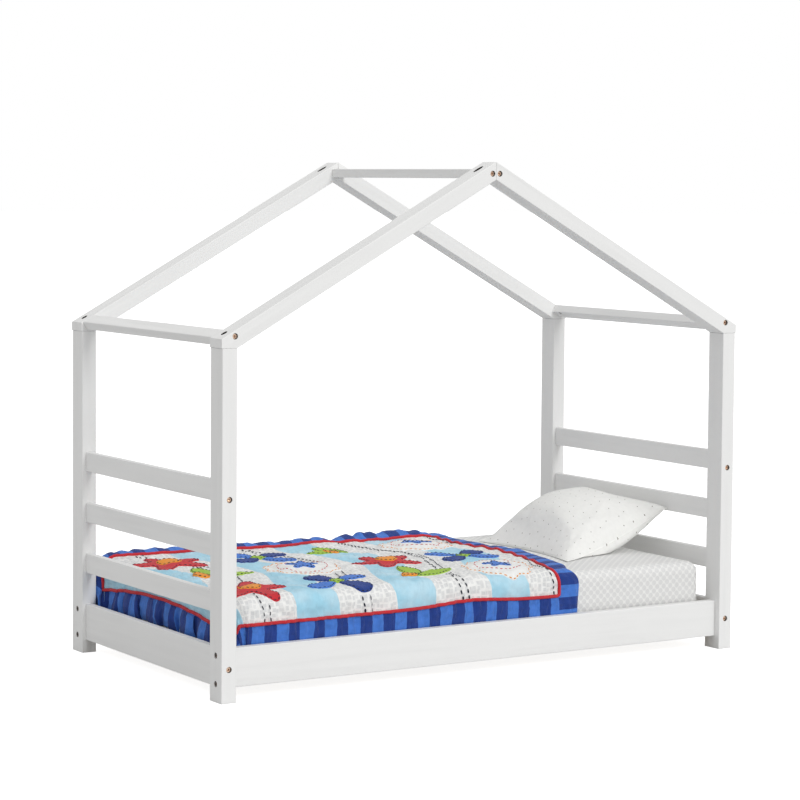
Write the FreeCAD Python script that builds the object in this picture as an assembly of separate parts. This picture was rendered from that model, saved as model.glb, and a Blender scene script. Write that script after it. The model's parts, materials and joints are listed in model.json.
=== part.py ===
import FreeCAD, Part
import math
import os

from FreeCAD import Rotation, Vector

# House frame bed for a small child, with its slatted base, mattress, quilt and pillow, in millimetres.
#
# X runs along the bed from the foot end (-X) to the head end (+X), Y from the front long side (-Y)
# to the back one (+Y), and Z up. The origin is on the floor, under the middle of the frame.
# The frame is the same at its two ends and its two sides, so a piece is made once, for the foot end
# and the front side, and mirrored with place().

# ---------------------------------------------------------------------------------------------
# Driving dimensions
# ---------------------------------------------------------------------------------------------

# Frame, over the outer faces of the posts
BED_LENGTH = 1460.0
BED_WIDTH = 798.0
POST_HEIGHT = 802.0
ROOF_ANGLE = 28.8            # degrees, from level

# Timber: posts and rafters are cut from the same 38 x 58 section
POST_DEPTH = 38.0            # along X
POST_WIDTH = 58.0            # along Y, and the width of the rafters on top of them
RAFTER_DEPTH = 38.0          # square to the slope
RAFTER_OVERHANG = 2.0        # how far a rafter's end stands past its post
EDGE_EASE = 2.0              # rounding of the long edges of all visible timber
JOINT_EASE = 1.2             # rounding about the faces where a rafter meets its post and its fellow

# Bars that join the front and back rafters
BAR_WIDTH = 36.0
BAR_THICKNESS = 22.0
EAVE_BAR_SETBACK = 4.0       # along the slope, from the rafter's outer end
EAVE_BAR_RECESS = 0.5        # below the rafter's top face
RIDGE_BAR_DROP = 17.5        # below the peak of the roof

# Rails under the bedding
RAIL_BASE = 32.0             # floor to the lower edge of all four rails
RAIL_HEIGHT = 90.0
SIDE_RAIL_THICKNESS = 22.0
END_RAIL_THICKNESS = 18.0

# Slats of the head and foot ends, with equal gaps above the end rail
END_SLAT_COUNT = 3
END_SLAT_HEIGHT = 48.0
END_SLAT_THICKNESS = 18.0
END_SLAT_GAP = 78.5

# Slatted base: battens screwed to the side rails carry loose slats joined by two tapes
BASE_DEPTH = 43.0            # from the rails' upper edge down to the top of the slats
LEDGE_WIDTH = 20.0
LEDGE_HEIGHT = 22.0
BASE_SLAT_COUNT = 12
BASE_SLAT_WIDTH = 64.0
BASE_SLAT_THICKNESS = 15.0
BASE_SLAT_END_GAP = 12.0     # from a post's inner face to the first slat
BASE_SLAT_CLEARANCE = 1.0    # between a slat's end and the side rail
TAPE_WIDTH = 20.0
TAPE_THICKNESS = 1.0
TAPE_SPACING = 400.0         # between the middles of the two tapes

# Connector bolts with round heads, and the barrel nuts or threaded inserts that they screw into
BOLT_RADIUS = 3.0
HEAD_RADIUS = 6.6
HEAD_THICKNESS = 4.5
HEAD_BEVEL = 0.8
HEAD_RECESS = 4.0            # from the timber's face down to the head
RAFTER_HEAD_RECESS = 9.0     # the same where a bolt goes down through a rafter into its post
APEX_HEAD_RECESS = 2.0       # the same along the bolt across the mitre, past the slope's edge
HEAD_CLEARANCE = 0.5         # around a bolt's head
BORE_CLEARANCE = 0.4         # around a bolt's shank
SOCKET_ACROSS_FLATS = 5.0
SOCKET_DEPTH = 3.0
NUT_RADIUS = 5.0
NUT_LENGTH = 13.0
NUT_DEPTH = 28.0             # from the end of a rail to the middle of its barrel nut
NUT_CLEARANCE = 0.1
THREAD_CLEARANCE = 0.05
BOLT_TAIL = 9.0              # bolt beyond the middle of its nut or insert
INSERT_RADIUS = 5.0
INSERT_LENGTH = 15.0
INSERT_SET = 1.0             # from the joint's face down to the insert
INSERT_CLEARANCE = 0.1

# Where the bolts sit
SIDE_BOLT_LOW_EDGE = 10.0    # lower bolt of a side rail, above the rail's lower edge
SIDE_BOLT_HIGH_EDGE = 15.0   # upper bolt, below the rail's upper edge
TOP_SLAT_BOLT_EDGE = 8.0     # bolt above the lower edge, and dowel below the upper edge, of the top slat
BAR_BOLT_EDGE = 7.8          # from a roof bar's edges to its bolts and dowels
APEX_BOLT_DROP = 18.0        # bolt across the mitre, below the peak of the roof

# Dowels, screws and staples
DOWEL_RADIUS = 4.0
DOWEL_LENGTH = 30.0
DOWEL_CLEARANCE = 0.05
DOWEL_BEVEL = 0.8
END_RAIL_DOWEL_OFFSET = 28.0  # each side of the bolt
SLAT_DOWEL_OFFSET = 12.0     # each side of the middle of the two lower slats
SCREW_RADIUS = 2.0
SCREW_HEAD_RADIUS = 3.8
LEDGE_SCREW_LENGTH = 35.0
LEDGE_SCREW_STEP = 2         # a ledge screw stands after every second base slat
SLAT_SCREW_LENGTH = 30.0
STAPLE_WIRE = 1.0
STAPLE_WIDTH = 10.0
STAPLE_LEG = 8.0

# Bedding
SOFT_CLEARANCE = 0.3
MATTRESS_THICKNESS = 140.0   # with its fitted sheet
MATTRESS_HEAD_GAP = 34.0     # from the mattress to the end slats and rail at the head
MATTRESS_FOOT_GAP = 40.0     # the same at the foot, where the quilt hangs
MATTRESS_CORNER_RADIUS = 25.0
MATTRESS_EDGE_RADIUS = 24.0
SHEET_THICKNESS = 1.2
SHEET_HEM = 90.0             # how far the sheet is turned in under the mattress
QUILT_HANG_THICKNESS = 10.5  # where it hangs between the mattress and a side rail
QUILT_LOFT = 16.0            # lying flat on the mattress
QUILT_CROWN = 8.0            # rise of its middle above its long edges
QUILT_HEM = 22.0             # front and foot hem above the base slats
QUILT_BACK_DROP = 20.0       # back hem below the top of the mattress
QUILT_SETBACK = 358.0        # bare mattress between the quilt's corners and the head end
QUILT_BOW = 30.0             # how far the quilt's head edge bows towards the head
QUILT_FOLD_COUNT = 9         # gathers in the part that hangs at the foot
QUILT_FOLD_DEPTH = 13.0
QUILT_FOLD_FADE = 1.3        # depth left where a gather dies away upwards
PILLOW_LENGTH = 415.0        # along Y
PILLOW_WIDTH = 367.0         # up the slope it lies at
PILLOW_UPPER = 78.0          # rise of its upper face above the seam
PILLOW_LOWER = 46.0          # the same of its lower face
PILLOW_SEAM = 7.0            # thickness at the seam
PILLOW_FULLNESS = 0.6        # power of the rise from the seam to the middle: lower is fuller
PILLOW_WAIST = 24.0          # how far each long side is drawn in
PILLOW_END_WAIST = 20.0      # how far each short side is drawn in
PILLOW_TILT = 18.0           # degrees, where it leans on the end slats
PILLOW_SHIFT = 12.0          # from the bed's middle towards the back
PILLOW_LIFT = 3.0            # of its lower seam above the mattress

# ---------------------------------------------------------------------------------------------
# Derived sizes
# ---------------------------------------------------------------------------------------------

HALF_LENGTH = BED_LENGTH / 2
HALF_WIDTH = BED_WIDTH / 2
POST_MID_X = HALF_LENGTH - POST_DEPTH / 2
POST_MID_Y = HALF_WIDTH - POST_WIDTH / 2
POST_INNER_X = HALF_LENGTH - POST_DEPTH
POST_INNER_Y = HALF_WIDTH - POST_WIDTH
SLOPE = math.radians(ROOF_ANGLE)
RISE = math.tan(SLOPE)
RAFTER_END_X = HALF_LENGTH + RAFTER_OVERHANG
PEAK_Z = POST_HEIGHT + RAFTER_DEPTH / math.cos(SLOPE) + POST_INNER_X * RISE
RAIL_TOP = RAIL_BASE + RAIL_HEIGHT
SIDE_RAIL_INNER_Y = POST_MID_Y - SIDE_RAIL_THICKNESS / 2
END_RAIL_INNER_X = POST_MID_X - END_RAIL_THICKNESS / 2
END_SLAT_INNER_X = POST_MID_X - END_SLAT_THICKNESS / 2
BASE_TOP = RAIL_TOP - BASE_DEPTH
LEDGE_TOP = BASE_TOP - BASE_SLAT_THICKNESS
HEAD_FLOOR = HEAD_RECESS + HEAD_THICKNESS
COUNTERBORE_RADIUS = HEAD_RADIUS + HEAD_CLEARANCE
MATTRESS_FOOT_X = -min(END_RAIL_INNER_X, END_SLAT_INNER_X) + MATTRESS_FOOT_GAP
MATTRESS_HEAD_X = min(END_RAIL_INNER_X, END_SLAT_INNER_X) - MATTRESS_HEAD_GAP
MATTRESS_HALF_WIDTH = SIDE_RAIL_INNER_Y - QUILT_HANG_THICKNESS - 2 * SOFT_CLEARANCE
MATTRESS_TOP = BASE_TOP + MATTRESS_THICKNESS
PILLOW_STATIONS = (-1.0, -0.86, -0.6, -0.3, 0.0, 0.3, 0.6, 0.86, 1.0)  # of its sections, from end to end

FOOT, HEAD = -1, 1
FRONT, BACK = -1, 1
END_NAMES = {FOOT: "foot", HEAD: "head"}
SIDE_NAMES = {FRONT: "front", BACK: "back"}
X_AXIS, Y_AXIS, Z_AXIS = Vector(1, 0, 0), Vector(0, 1, 0), Vector(0, 0, 1)

nodes = {}


# ---------------------------------------------------------------------------------------------
# Helpers
# ---------------------------------------------------------------------------------------------

def block(x0, x1, y0, y1, z0, z1):
    """A box between two corners."""
    return Part.makeBox(x1 - x0, y1 - y0, z1 - z0, Vector(x0, y0, z0))


def rod(radius, length, start, direction):
    """A round bar from a start point along a direction."""
    return Part.makeCylinder(radius, length, start, direction)


def prism_y(points, y0, y1):
    """A flat outline of (x, z) points, extruded along Y."""
    corners = [Vector(x, y0, z) for x, z in points]
    face = Part.Face(Part.makePolygon(corners + corners[:1]))
    return face.extrude(Vector(0, y1 - y0, 0))


def eased(shape, axis, radius=EDGE_EASE):
    """Rounds the straight edges of a board that run along its length."""
    chosen = []
    for edge in shape.Edges:
        ends = edge.Vertexes
        run = ends[-1].Point.sub(ends[0].Point)
        if run.Length > 2 * POST_WIDTH and run.cross(axis).Length < 0.01 * run.Length:
            chosen.append(edge)
    return shape.makeFillet(radius, chosen)


def eased_end(shape, axis, level):
    """Rounds the edges about the face that lies at a level along an axis."""
    rim = [e for e in shape.Edges if all(abs(v.Point.dot(axis) - level) < 0.01 for v in e.Vertexes)]
    return shape.makeFillet(JOINT_EASE, rim)


def drilled(shape, tools):
    """A shape with every tool in the list cut from it."""
    return shape.cut(Part.makeCompound(tools))


def place(shape, end, side):
    """Mirrors a piece made for the foot end and the front side to another end or side."""
    moved = shape.copy()
    if end == HEAD:
        moved = moved.mirror(Vector(0, 0, 0), X_AXIS)
    if side == BACK:
        moved = moved.mirror(Vector(0, 0, 0), Y_AXIS)
    return moved


def corners():
    """The four corners of the bed, as (end, side)."""
    return [(end, side) for end in (FOOT, HEAD) for side in (FRONT, BACK)]


def everywhere(shapes):
    """A list of foot-front pieces, repeated at all four corners."""
    return [place(shape, end, side) for end, side in corners() for shape in shapes]


def keep(name, shapes):
    """Stores one solid or a list of solids under a node's name."""
    solids = []
    for shape in shapes if isinstance(shapes, list) else [shapes]:
        solids.extend(shape.Solids)
    nodes[name] = solids[0] if len(solids) == 1 else Part.makeCompound(solids)


# ---------------------------------------------------------------------------------------------
# Fasteners
# ---------------------------------------------------------------------------------------------

class Joint:
    """A connector bolt with its barrel nut: seat is the underside of the head, run points to the tip."""

    def __init__(self, seat, run, reach, nut_axis):
        self.seat = seat
        self.run = run
        self.reach = reach
        self.nut_axis = nut_axis
        self.nut_middle = seat + run * reach
        self.nut_start = self.nut_middle - nut_axis * (NUT_LENGTH / 2)

    def bolt(self):
        """The bolt, with a bevelled round head and a hexagon socket."""
        shank = rod(BOLT_RADIUS, self.reach + BOLT_TAIL, self.seat, self.run)
        head = rod(HEAD_RADIUS, HEAD_THICKNESS, self.seat, self.run * -1)
        top = self.seat - self.run * HEAD_THICKNESS
        rim = [e for e in head.Edges if len(e.Vertexes) == 1 and (e.CenterOfMass - top).Length < 0.01]
        head = head.makeChamfer(HEAD_BEVEL, rim)
        across = self.nut_axis
        up = self.run.cross(across)
        points = []
        for k in range(6):
            turn = math.radians(60 * k)
            spoke = across * math.cos(turn) + up * math.sin(turn)
            points.append(top + spoke * (SOCKET_ACROSS_FLATS / math.sqrt(3)))
        socket = Part.Face(Part.makePolygon(points + points[:1])).extrude(self.run * SOCKET_DEPTH)
        return head.fuse(shank).removeSplitter().cut(socket).Solids[0]

    def nut(self):
        """The barrel nut, with its cross hole."""
        body = rod(NUT_RADIUS, NUT_LENGTH, self.nut_start, self.nut_axis)
        hole = rod(BOLT_RADIUS + THREAD_CLEARANCE, 4 * NUT_RADIUS,
                   self.nut_middle - self.run * (2 * NUT_RADIUS), self.run)
        return body.cut(hole).Solids[0]

    def bores(self, head_room, nut_room):
        """Counterbore, shank bore and nut bore; the rooms reach from head and nut to the open air."""
        counterbore = rod(COUNTERBORE_RADIUS, head_room, self.seat, self.run * -1)
        shank = rod(BOLT_RADIUS + BORE_CLEARANCE, self.reach + BOLT_TAIL + 1, self.seat, self.run)
        pocket = rod(NUT_RADIUS + NUT_CLEARANCE, NUT_LENGTH + nut_room, self.nut_start, self.nut_axis)
        return [counterbore, shank, pocket]


class InsertJoint(Joint):
    """A bolt whose threaded insert is let into the second timber's joint face, in line with it."""

    def __init__(self, seat, run, face, across):
        super().__init__(seat, run, face + INSERT_SET + INSERT_LENGTH / 2, across)
        self.face = face

    def nut(self):
        """The insert, with its bore."""
        start = self.seat + self.run * (self.face + INSERT_SET)
        body = rod(INSERT_RADIUS, INSERT_LENGTH, start, self.run)
        return body.cut(rod(BOLT_RADIUS + THREAD_CLEARANCE, INSERT_LENGTH, start, self.run)).Solids[0]

    def bores(self, head_room, nut_room=0):
        """Counterbore, shank bore and the insert's pocket, which opens at the joint's face."""
        counterbore, shank, _ = super().bores(head_room, nut_room)
        start = self.seat + self.run * self.face
        pocket = rod(INSERT_RADIUS + INSERT_CLEARANCE, INSERT_SET + INSERT_LENGTH, start, self.run)
        return [counterbore, shank, pocket]


def dowel(middle, axis):
    """A wooden dowel with bevelled ends, and the hole that it fills in both timbers."""
    start = middle - axis * (DOWEL_LENGTH / 2)
    body = rod(DOWEL_RADIUS, DOWEL_LENGTH, start, axis)
    rims = [e for e in body.Edges if len(e.Vertexes) == 1]
    hole = rod(DOWEL_RADIUS + DOWEL_CLEARANCE, DOWEL_LENGTH, start, axis)
    return body.makeChamfer(DOWEL_BEVEL, rims), hole


def screw(seat, run, length):
    """A countersunk wood screw whose flat head ends level with the timber's face."""
    cone = Part.makeCone(SCREW_HEAD_RADIUS, SCREW_RADIUS, SCREW_HEAD_RADIUS - SCREW_RADIUS, seat, run)
    return rod(SCREW_RADIUS, length, seat, run).fuse(cone).removeSplitter().Solids[0]


# ---------------------------------------------------------------------------------------------
# Joints of the frame, for the foot end and the front side
# ---------------------------------------------------------------------------------------------

def along_slope(distance, depth):
    """(x, z) of a point by its distance up the slope from the eave and its depth below the top face."""
    eave_z = PEAK_Z - RAFTER_END_X * RISE
    x = -RAFTER_END_X + distance * math.cos(SLOPE) + depth * math.sin(SLOPE)
    z = eave_z + distance * math.sin(SLOPE) - depth * math.cos(SLOPE)
    return x, z


def side_rail_joint(z):
    """A bolt along X, from a post's outer face into the end of a side rail."""
    seat = Vector(-HALF_LENGTH + HEAD_FLOOR, -POST_MID_Y, z)
    return Joint(seat, X_AXIS, POST_DEPTH - HEAD_FLOOR + NUT_DEPTH, Y_AXIS)


def end_joint(x, z, nut_axis):
    """A bolt along Y, from a front face into the end of a board between the posts or rafters."""
    seat = Vector(x, -HALF_WIDTH + HEAD_FLOOR, z)
    return Joint(seat, Y_AXIS, POST_WIDTH - HEAD_FLOOR + NUT_DEPTH, nut_axis)


def rafter_foot_joint():
    """A bolt straight down through a rafter into its post; its head clears the slope's lower side."""
    seat_z = PEAK_Z - (POST_MID_X + COUNTERBORE_RADIUS) * RISE - RAFTER_HEAD_RECESS - HEAD_THICKNESS
    seat = Vector(-POST_MID_X, -POST_MID_Y, seat_z)
    return InsertJoint(seat, Z_AXIS * -1, seat_z - POST_HEIGHT, Y_AXIS)


def apex_joint():
    """A level bolt across the mitre; its head is let in where the slope covers the counterbore."""
    seat_x = (APEX_BOLT_DROP - COUNTERBORE_RADIUS) / RISE - APEX_HEAD_RECESS - HEAD_THICKNESS
    seat = Vector(-seat_x, -POST_MID_Y, PEAK_Z - APEX_BOLT_DROP)
    return InsertJoint(seat, X_AXIS, seat_x, Y_AXIS)


SLAT_BASES = [RAIL_TOP + END_SLAT_GAP + k * (END_SLAT_HEIGHT + END_SLAT_GAP) for k in range(END_SLAT_COUNT)]
RAIL_MID_Z = RAIL_BASE + RAIL_HEIGHT / 2
TOP_SLAT_MID_Z = SLAT_BASES[-1] + END_SLAT_HEIGHT / 2
TOP_SLAT_BOLT_OFFSET = END_SLAT_HEIGHT / 2 - TOP_SLAT_BOLT_EDGE
EAVE_MID = EAVE_BAR_SETBACK + BAR_WIDTH / 2
EAVE_DEPTH = EAVE_BAR_RECESS + BAR_THICKNESS / 2
BAR_BOLT_OFFSET = BAR_WIDTH / 2 - BAR_BOLT_EDGE
RIDGE_BAR_Z = PEAK_Z - RIDGE_BAR_DROP - BAR_THICKNESS / 2

side_rail_bolts = [side_rail_joint(z)
                   for z in (RAIL_BASE + SIDE_BOLT_LOW_EDGE, RAIL_TOP - SIDE_BOLT_HIGH_EDGE)]
end_rail_bolt = end_joint(-POST_MID_X, RAIL_MID_Z, X_AXIS)
top_slat_bolt = end_joint(-POST_MID_X, TOP_SLAT_MID_Z - TOP_SLAT_BOLT_OFFSET, Z_AXIS * -1)
eave_x, eave_z = along_slope(EAVE_MID + BAR_BOLT_OFFSET, EAVE_DEPTH)
eave_bolt = end_joint(eave_x, eave_z, Vector(math.sin(SLOPE), 0, -math.cos(SLOPE)))
ridge_bolt = end_joint(-BAR_BOLT_OFFSET, RIDGE_BAR_Z, Z_AXIS * -1)
rafter_foot_bolt = rafter_foot_joint()
apex_bolt = apex_joint()

rail_dowels = [dowel(Vector(-POST_MID_X, -POST_INNER_Y, RAIL_MID_Z + s * END_RAIL_DOWEL_OFFSET), Y_AXIS)
               for s in (-1, 1)]
slat_dowels = [dowel(Vector(-POST_MID_X, -POST_INNER_Y, base + END_SLAT_HEIGHT / 2 + s * SLAT_DOWEL_OFFSET),
                     Y_AXIS)
               for base in SLAT_BASES[:-1] for s in (-1, 1)]
top_slat_dowel = dowel(Vector(-POST_MID_X, -POST_INNER_Y, TOP_SLAT_MID_Z + TOP_SLAT_BOLT_OFFSET), Y_AXIS)
dowel_x, dowel_z = along_slope(EAVE_MID - BAR_BOLT_OFFSET, EAVE_DEPTH)
eave_dowel = dowel(Vector(dowel_x, -POST_INNER_Y, dowel_z), Y_AXIS)
end_dowels = rail_dowels + slat_dowels + [top_slat_dowel]

bores_side_rail = [b for j in side_rail_bolts for b in j.bores(POST_DEPTH, SIDE_RAIL_THICKNESS)]
bores_end_rail = end_rail_bolt.bores(POST_DEPTH, END_RAIL_THICKNESS)
bores_top_slat = top_slat_bolt.bores(POST_DEPTH, END_SLAT_HEIGHT)
bores_eave = eave_bolt.bores(POST_DEPTH, BAR_THICKNESS)
bores_ridge = ridge_bolt.bores(POST_DEPTH, BAR_THICKNESS)
bores_rafter_foot = rafter_foot_bolt.bores(RAFTER_DEPTH)
bores_apex = apex_bolt.bores(2 * RAFTER_DEPTH)


# ---------------------------------------------------------------------------------------------
# Frame timber
# ---------------------------------------------------------------------------------------------

def post():
    """A corner post, drilled for its rails, slats and rafter."""
    body = eased(block(-HALF_LENGTH, -POST_INNER_X, -HALF_WIDTH, -POST_INNER_Y, 0, POST_HEIGHT), Z_AXIS)
    body = eased_end(body, Z_AXIS, POST_HEIGHT)
    holes = bores_side_rail + bores_end_rail[:2] + bores_top_slat[:2] + bores_rafter_foot[1:]
    return drilled(body, holes + [hole for _, hole in end_dowels])


def rafter():
    """A rafter with a level seat on its post and a mitre at the peak."""
    outline = [
        (-RAFTER_END_X, POST_HEIGHT),
        (-POST_INNER_X, POST_HEIGHT),
        (0, POST_HEIGHT + POST_INNER_X * RISE),
        (0, PEAK_Z),
        (-RAFTER_END_X, PEAK_Z - RAFTER_END_X * RISE),
    ]
    body = prism_y(outline, -HALF_WIDTH, -POST_INNER_Y)
    body = eased(body, Vector(math.cos(SLOPE), 0, math.sin(SLOPE)))
    body = eased_end(eased_end(body, X_AXIS, 0), Z_AXIS, POST_HEIGHT)
    return drilled(body, bores_rafter_foot[:2] + bores_eave[:2] + bores_ridge[:2] + [eave_dowel[1]])


def side_rail():
    """A long rail between two posts, with ledge screws let in by the base."""
    y0 = -POST_MID_Y - SIDE_RAIL_THICKNESS / 2
    body = block(-POST_INNER_X, POST_INNER_X, y0, y0 + SIDE_RAIL_THICKNESS, RAIL_BASE, RAIL_TOP)
    holes = bores_side_rail + [place(b, HEAD, FRONT) for b in bores_side_rail]
    return drilled(eased(body, X_AXIS), holes + ledge_screws)


def end_board(thickness, base, height, front_holes):
    """A rail or slat between the posts of one end."""
    x0 = -POST_MID_X - thickness / 2
    body = eased(block(x0, x0 + thickness, -POST_INNER_Y, POST_INNER_Y, base, base + height), Y_AXIS)
    return drilled(body, front_holes + [place(b, FOOT, BACK) for b in front_holes])


def eave_bar():
    """The bar between the lower ends of two rafters, turned to the roof's slope."""
    outline = [along_slope(EAVE_BAR_SETBACK + a * BAR_WIDTH, EAVE_BAR_RECESS + b * BAR_THICKNESS)
               for a, b in ((0, 0), (1, 0), (1, 1), (0, 1))]
    body = eased(prism_y(outline, -POST_INNER_Y, POST_INNER_Y), Y_AXIS)
    holes = bores_eave[1:] + [eave_dowel[1]]
    return drilled(body, holes + [place(b, FOOT, BACK) for b in holes])


def ridge_bar():
    """The bar between the two peaks, bolted through all four rafters."""
    z0 = RIDGE_BAR_Z - BAR_THICKNESS / 2
    body = eased(block(-BAR_WIDTH / 2, BAR_WIDTH / 2, -POST_INNER_Y, POST_INNER_Y, z0, z0 + BAR_THICKNESS),
                 Y_AXIS)
    return drilled(body, everywhere(bores_ridge[1:]))


# ---------------------------------------------------------------------------------------------
# Slatted base
# ---------------------------------------------------------------------------------------------

def ledge_screw_list():
    """Screws from the inner face of the front ledge into the side rail."""
    y = -SIDE_RAIL_INNER_Y + LEDGE_WIDTH
    z = LEDGE_TOP - LEDGE_HEIGHT / 2
    places = base_slat_places()
    middles = [(places[k] + places[k + 1]) / 2 for k in range(0, BASE_SLAT_COUNT - 1, LEDGE_SCREW_STEP)]
    return [screw(Vector(x, y, z), Y_AXIS * -1, LEDGE_SCREW_LENGTH) for x in middles]


def base_slat_places():
    """The middles of the base slats along X."""
    first = -POST_INNER_X + BASE_SLAT_END_GAP + BASE_SLAT_WIDTH / 2
    return [first - 2 * first * k / (BASE_SLAT_COUNT - 1) for k in range(BASE_SLAT_COUNT)]


def slat_screw_list():
    """One screw through each end of the first and last slats into the ledges."""
    y = -SIDE_RAIL_INNER_Y + LEDGE_WIDTH / 2
    return everywhere([screw(Vector(base_slat_places()[0], y, BASE_TOP), Z_AXIS * -1, SLAT_SCREW_LENGTH)])


def staple(x, y):
    """A staple that holds a tape to the underside of a slat."""
    z = LEDGE_TOP - TAPE_THICKNESS - STAPLE_WIRE
    half_width, half_wire = STAPLE_WIDTH / 2, STAPLE_WIRE / 2
    outer = block(x - half_width, x + half_width, y - half_wire, y + half_wire, z, z + STAPLE_LEG)
    inner = block(x - half_width + STAPLE_WIRE, x + half_width - STAPLE_WIRE,
                  y - STAPLE_WIRE, y + STAPLE_WIRE, z + STAPLE_WIRE, z + STAPLE_LEG + STAPLE_WIRE)
    return outer.cut(inner)


def ledge():
    """The batten along the inside of the front side rail."""
    y0 = -SIDE_RAIL_INNER_Y
    body = block(-POST_INNER_X, POST_INNER_X, y0, y0 + LEDGE_WIDTH, LEDGE_TOP - LEDGE_HEIGHT, LEDGE_TOP)
    return drilled(body, ledge_screws + slat_screws)


def base_slat(x):
    """One slat of the base, resting on both ledges."""
    half = SIDE_RAIL_INNER_Y - BASE_SLAT_CLEARANCE
    body = block(x - BASE_SLAT_WIDTH / 2, x + BASE_SLAT_WIDTH / 2, -half, half, LEDGE_TOP, BASE_TOP)
    return drilled(eased(body, Y_AXIS), slat_screws + staples)


def tape():
    """The front tape under the slats."""
    end = abs(base_slat_places()[0]) + TAPE_WIDTH / 2
    y0 = -TAPE_SPACING / 2 - TAPE_WIDTH / 2
    return drilled(block(-end, end, y0, y0 + TAPE_WIDTH, LEDGE_TOP - TAPE_THICKNESS, LEDGE_TOP), staples)


ledge_screws = ledge_screw_list()
slat_screws = slat_screw_list()
staples = [staple(x, s * TAPE_SPACING / 2) for x in base_slat_places() for s in (-1, 1)]


# ---------------------------------------------------------------------------------------------
# Bedding
# ---------------------------------------------------------------------------------------------

def soft_block(x0, x1, half_width, z0, z1, corner, edge):
    """A padded block with rounded upright corners and rounded rims above and below."""
    body = block(x0, x1, -half_width, half_width, z0, z1)
    uprights = [e for e in body.Edges if e.BoundBox.ZLength > 1]
    body = body.makeFillet(corner, uprights)
    rims = [e for e in body.Edges if e.BoundBox.ZLength < 0.01]
    return body.makeFillet(min(edge, corner - SHEET_THICKNESS / 2), rims)


def mattress_outer(grow):
    """The outside of the made-up mattress, grown by a distance on every side."""
    return soft_block(MATTRESS_FOOT_X - grow, MATTRESS_HEAD_X + grow, MATTRESS_HALF_WIDTH + grow,
                      BASE_TOP - grow, MATTRESS_TOP + grow, MATTRESS_CORNER_RADIUS + grow,
                      MATTRESS_EDGE_RADIUS + grow)


def fitted_sheet(core):
    """The fitted sheet: the mattress's skin, open underneath inside its gathered hem."""
    hole = block(MATTRESS_FOOT_X + SHEET_HEM, MATTRESS_HEAD_X - SHEET_HEM,
                 -MATTRESS_HALF_WIDTH + SHEET_HEM, MATTRESS_HALF_WIDTH - SHEET_HEM,
                 BASE_TOP - 1, BASE_TOP + 2 * SHEET_THICKNESS)
    return mattress_outer(0).cut(core).cut(hole).Solids[0]


def quilt_folds(x_flat, z0, z1, half):
    """Gathers in the foot hang: a wavy strip at the hem that dies away upwards."""
    step = 2 * half / (2 * QUILT_FOLD_COUNT)
    back_x = x_flat + QUILT_HANG_THICKNESS / 2
    wires = []
    for z, depth in ((z0, QUILT_FOLD_DEPTH), (z1, QUILT_FOLD_FADE)):
        middle = x_flat - depth / 2
        edges = []
        for k in range(2 * QUILT_FOLD_COUNT):
            y0, y1 = -half + k * step, -half + (k + 1) * step
            swing = depth / 2 if k % 2 else -depth / 2
            edges.append(Part.Arc(Vector(middle, y0, z), Vector(middle + swing, (y0 + y1) / 2, z),
                                  Vector(middle, y1, z)).toShape())
        edges.append(Part.makeLine(Vector(middle, half, z), Vector(back_x, half, z)))
        edges.append(Part.makeLine(Vector(back_x, half, z), Vector(back_x, -half, z)))
        edges.append(Part.makeLine(Vector(back_x, -half, z), Vector(middle, -half, z)))
        wires.append(Part.Wire(edges))
    return Part.makeLoft(wires, True, True)


def quilt_body(outer_x, outer_y, x1, hem):
    """The quilt's full outside, crowned above, before the mattress is cut out of it."""
    edge_top = MATTRESS_TOP + QUILT_LOFT
    crown = Part.Arc(Vector(outer_x, outer_y, edge_top), Vector(outer_x, 0, edge_top + QUILT_CROWN),
                     Vector(outer_x, -outer_y, edge_top)).toShape()
    sides = Part.makePolygon([Vector(outer_x, -outer_y, edge_top), Vector(outer_x, -outer_y, hem),
                              Vector(outer_x, outer_y, hem), Vector(outer_x, outer_y, edge_top)])
    body = Part.Face(Part.Wire([crown] + sides.Edges)).extrude(Vector(x1 - outer_x, 0, 0))
    corner = MATTRESS_CORNER_RADIUS + QUILT_HANG_THICKNESS
    uprights = [e for e in body.Edges if e.BoundBox.XMax < outer_x + 0.01 and e.BoundBox.YLength < 0.01]
    body = body.makeFillet(corner, uprights)
    rims = [e for e in body.Edges if e.BoundBox.ZMin > edge_top - 0.5 and e.BoundBox.XMin < x1 - 0.5]
    rim_radius = min(MATTRESS_EDGE_RADIUS + QUILT_HANG_THICKNESS, corner - SHEET_THICKNESS / 2)
    body = body.makeFillet(rim_radius, rims)
    folds = quilt_folds(outer_x, hem, MATTRESS_TOP - MATTRESS_EDGE_RADIUS, outer_y - corner)
    return body.fuse(folds)


def quilt_back_trim(outer_x, outer_y, x1, hem):
    """What the quilt lacks along the back, where only its foot hang goes down."""
    x0 = outer_x - QUILT_FOLD_DEPTH - 1
    back = block(x0, x1 + 1, MATTRESS_HALF_WIDTH - MATTRESS_EDGE_RADIUS, outer_y + 1,
                 hem - 1, MATTRESS_TOP - QUILT_BACK_DROP)
    foot = block(x0, MATTRESS_FOOT_X + MATTRESS_CORNER_RADIUS, 0, outer_y + 1, hem - 1, MATTRESS_TOP)
    return back.cut(foot)


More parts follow.
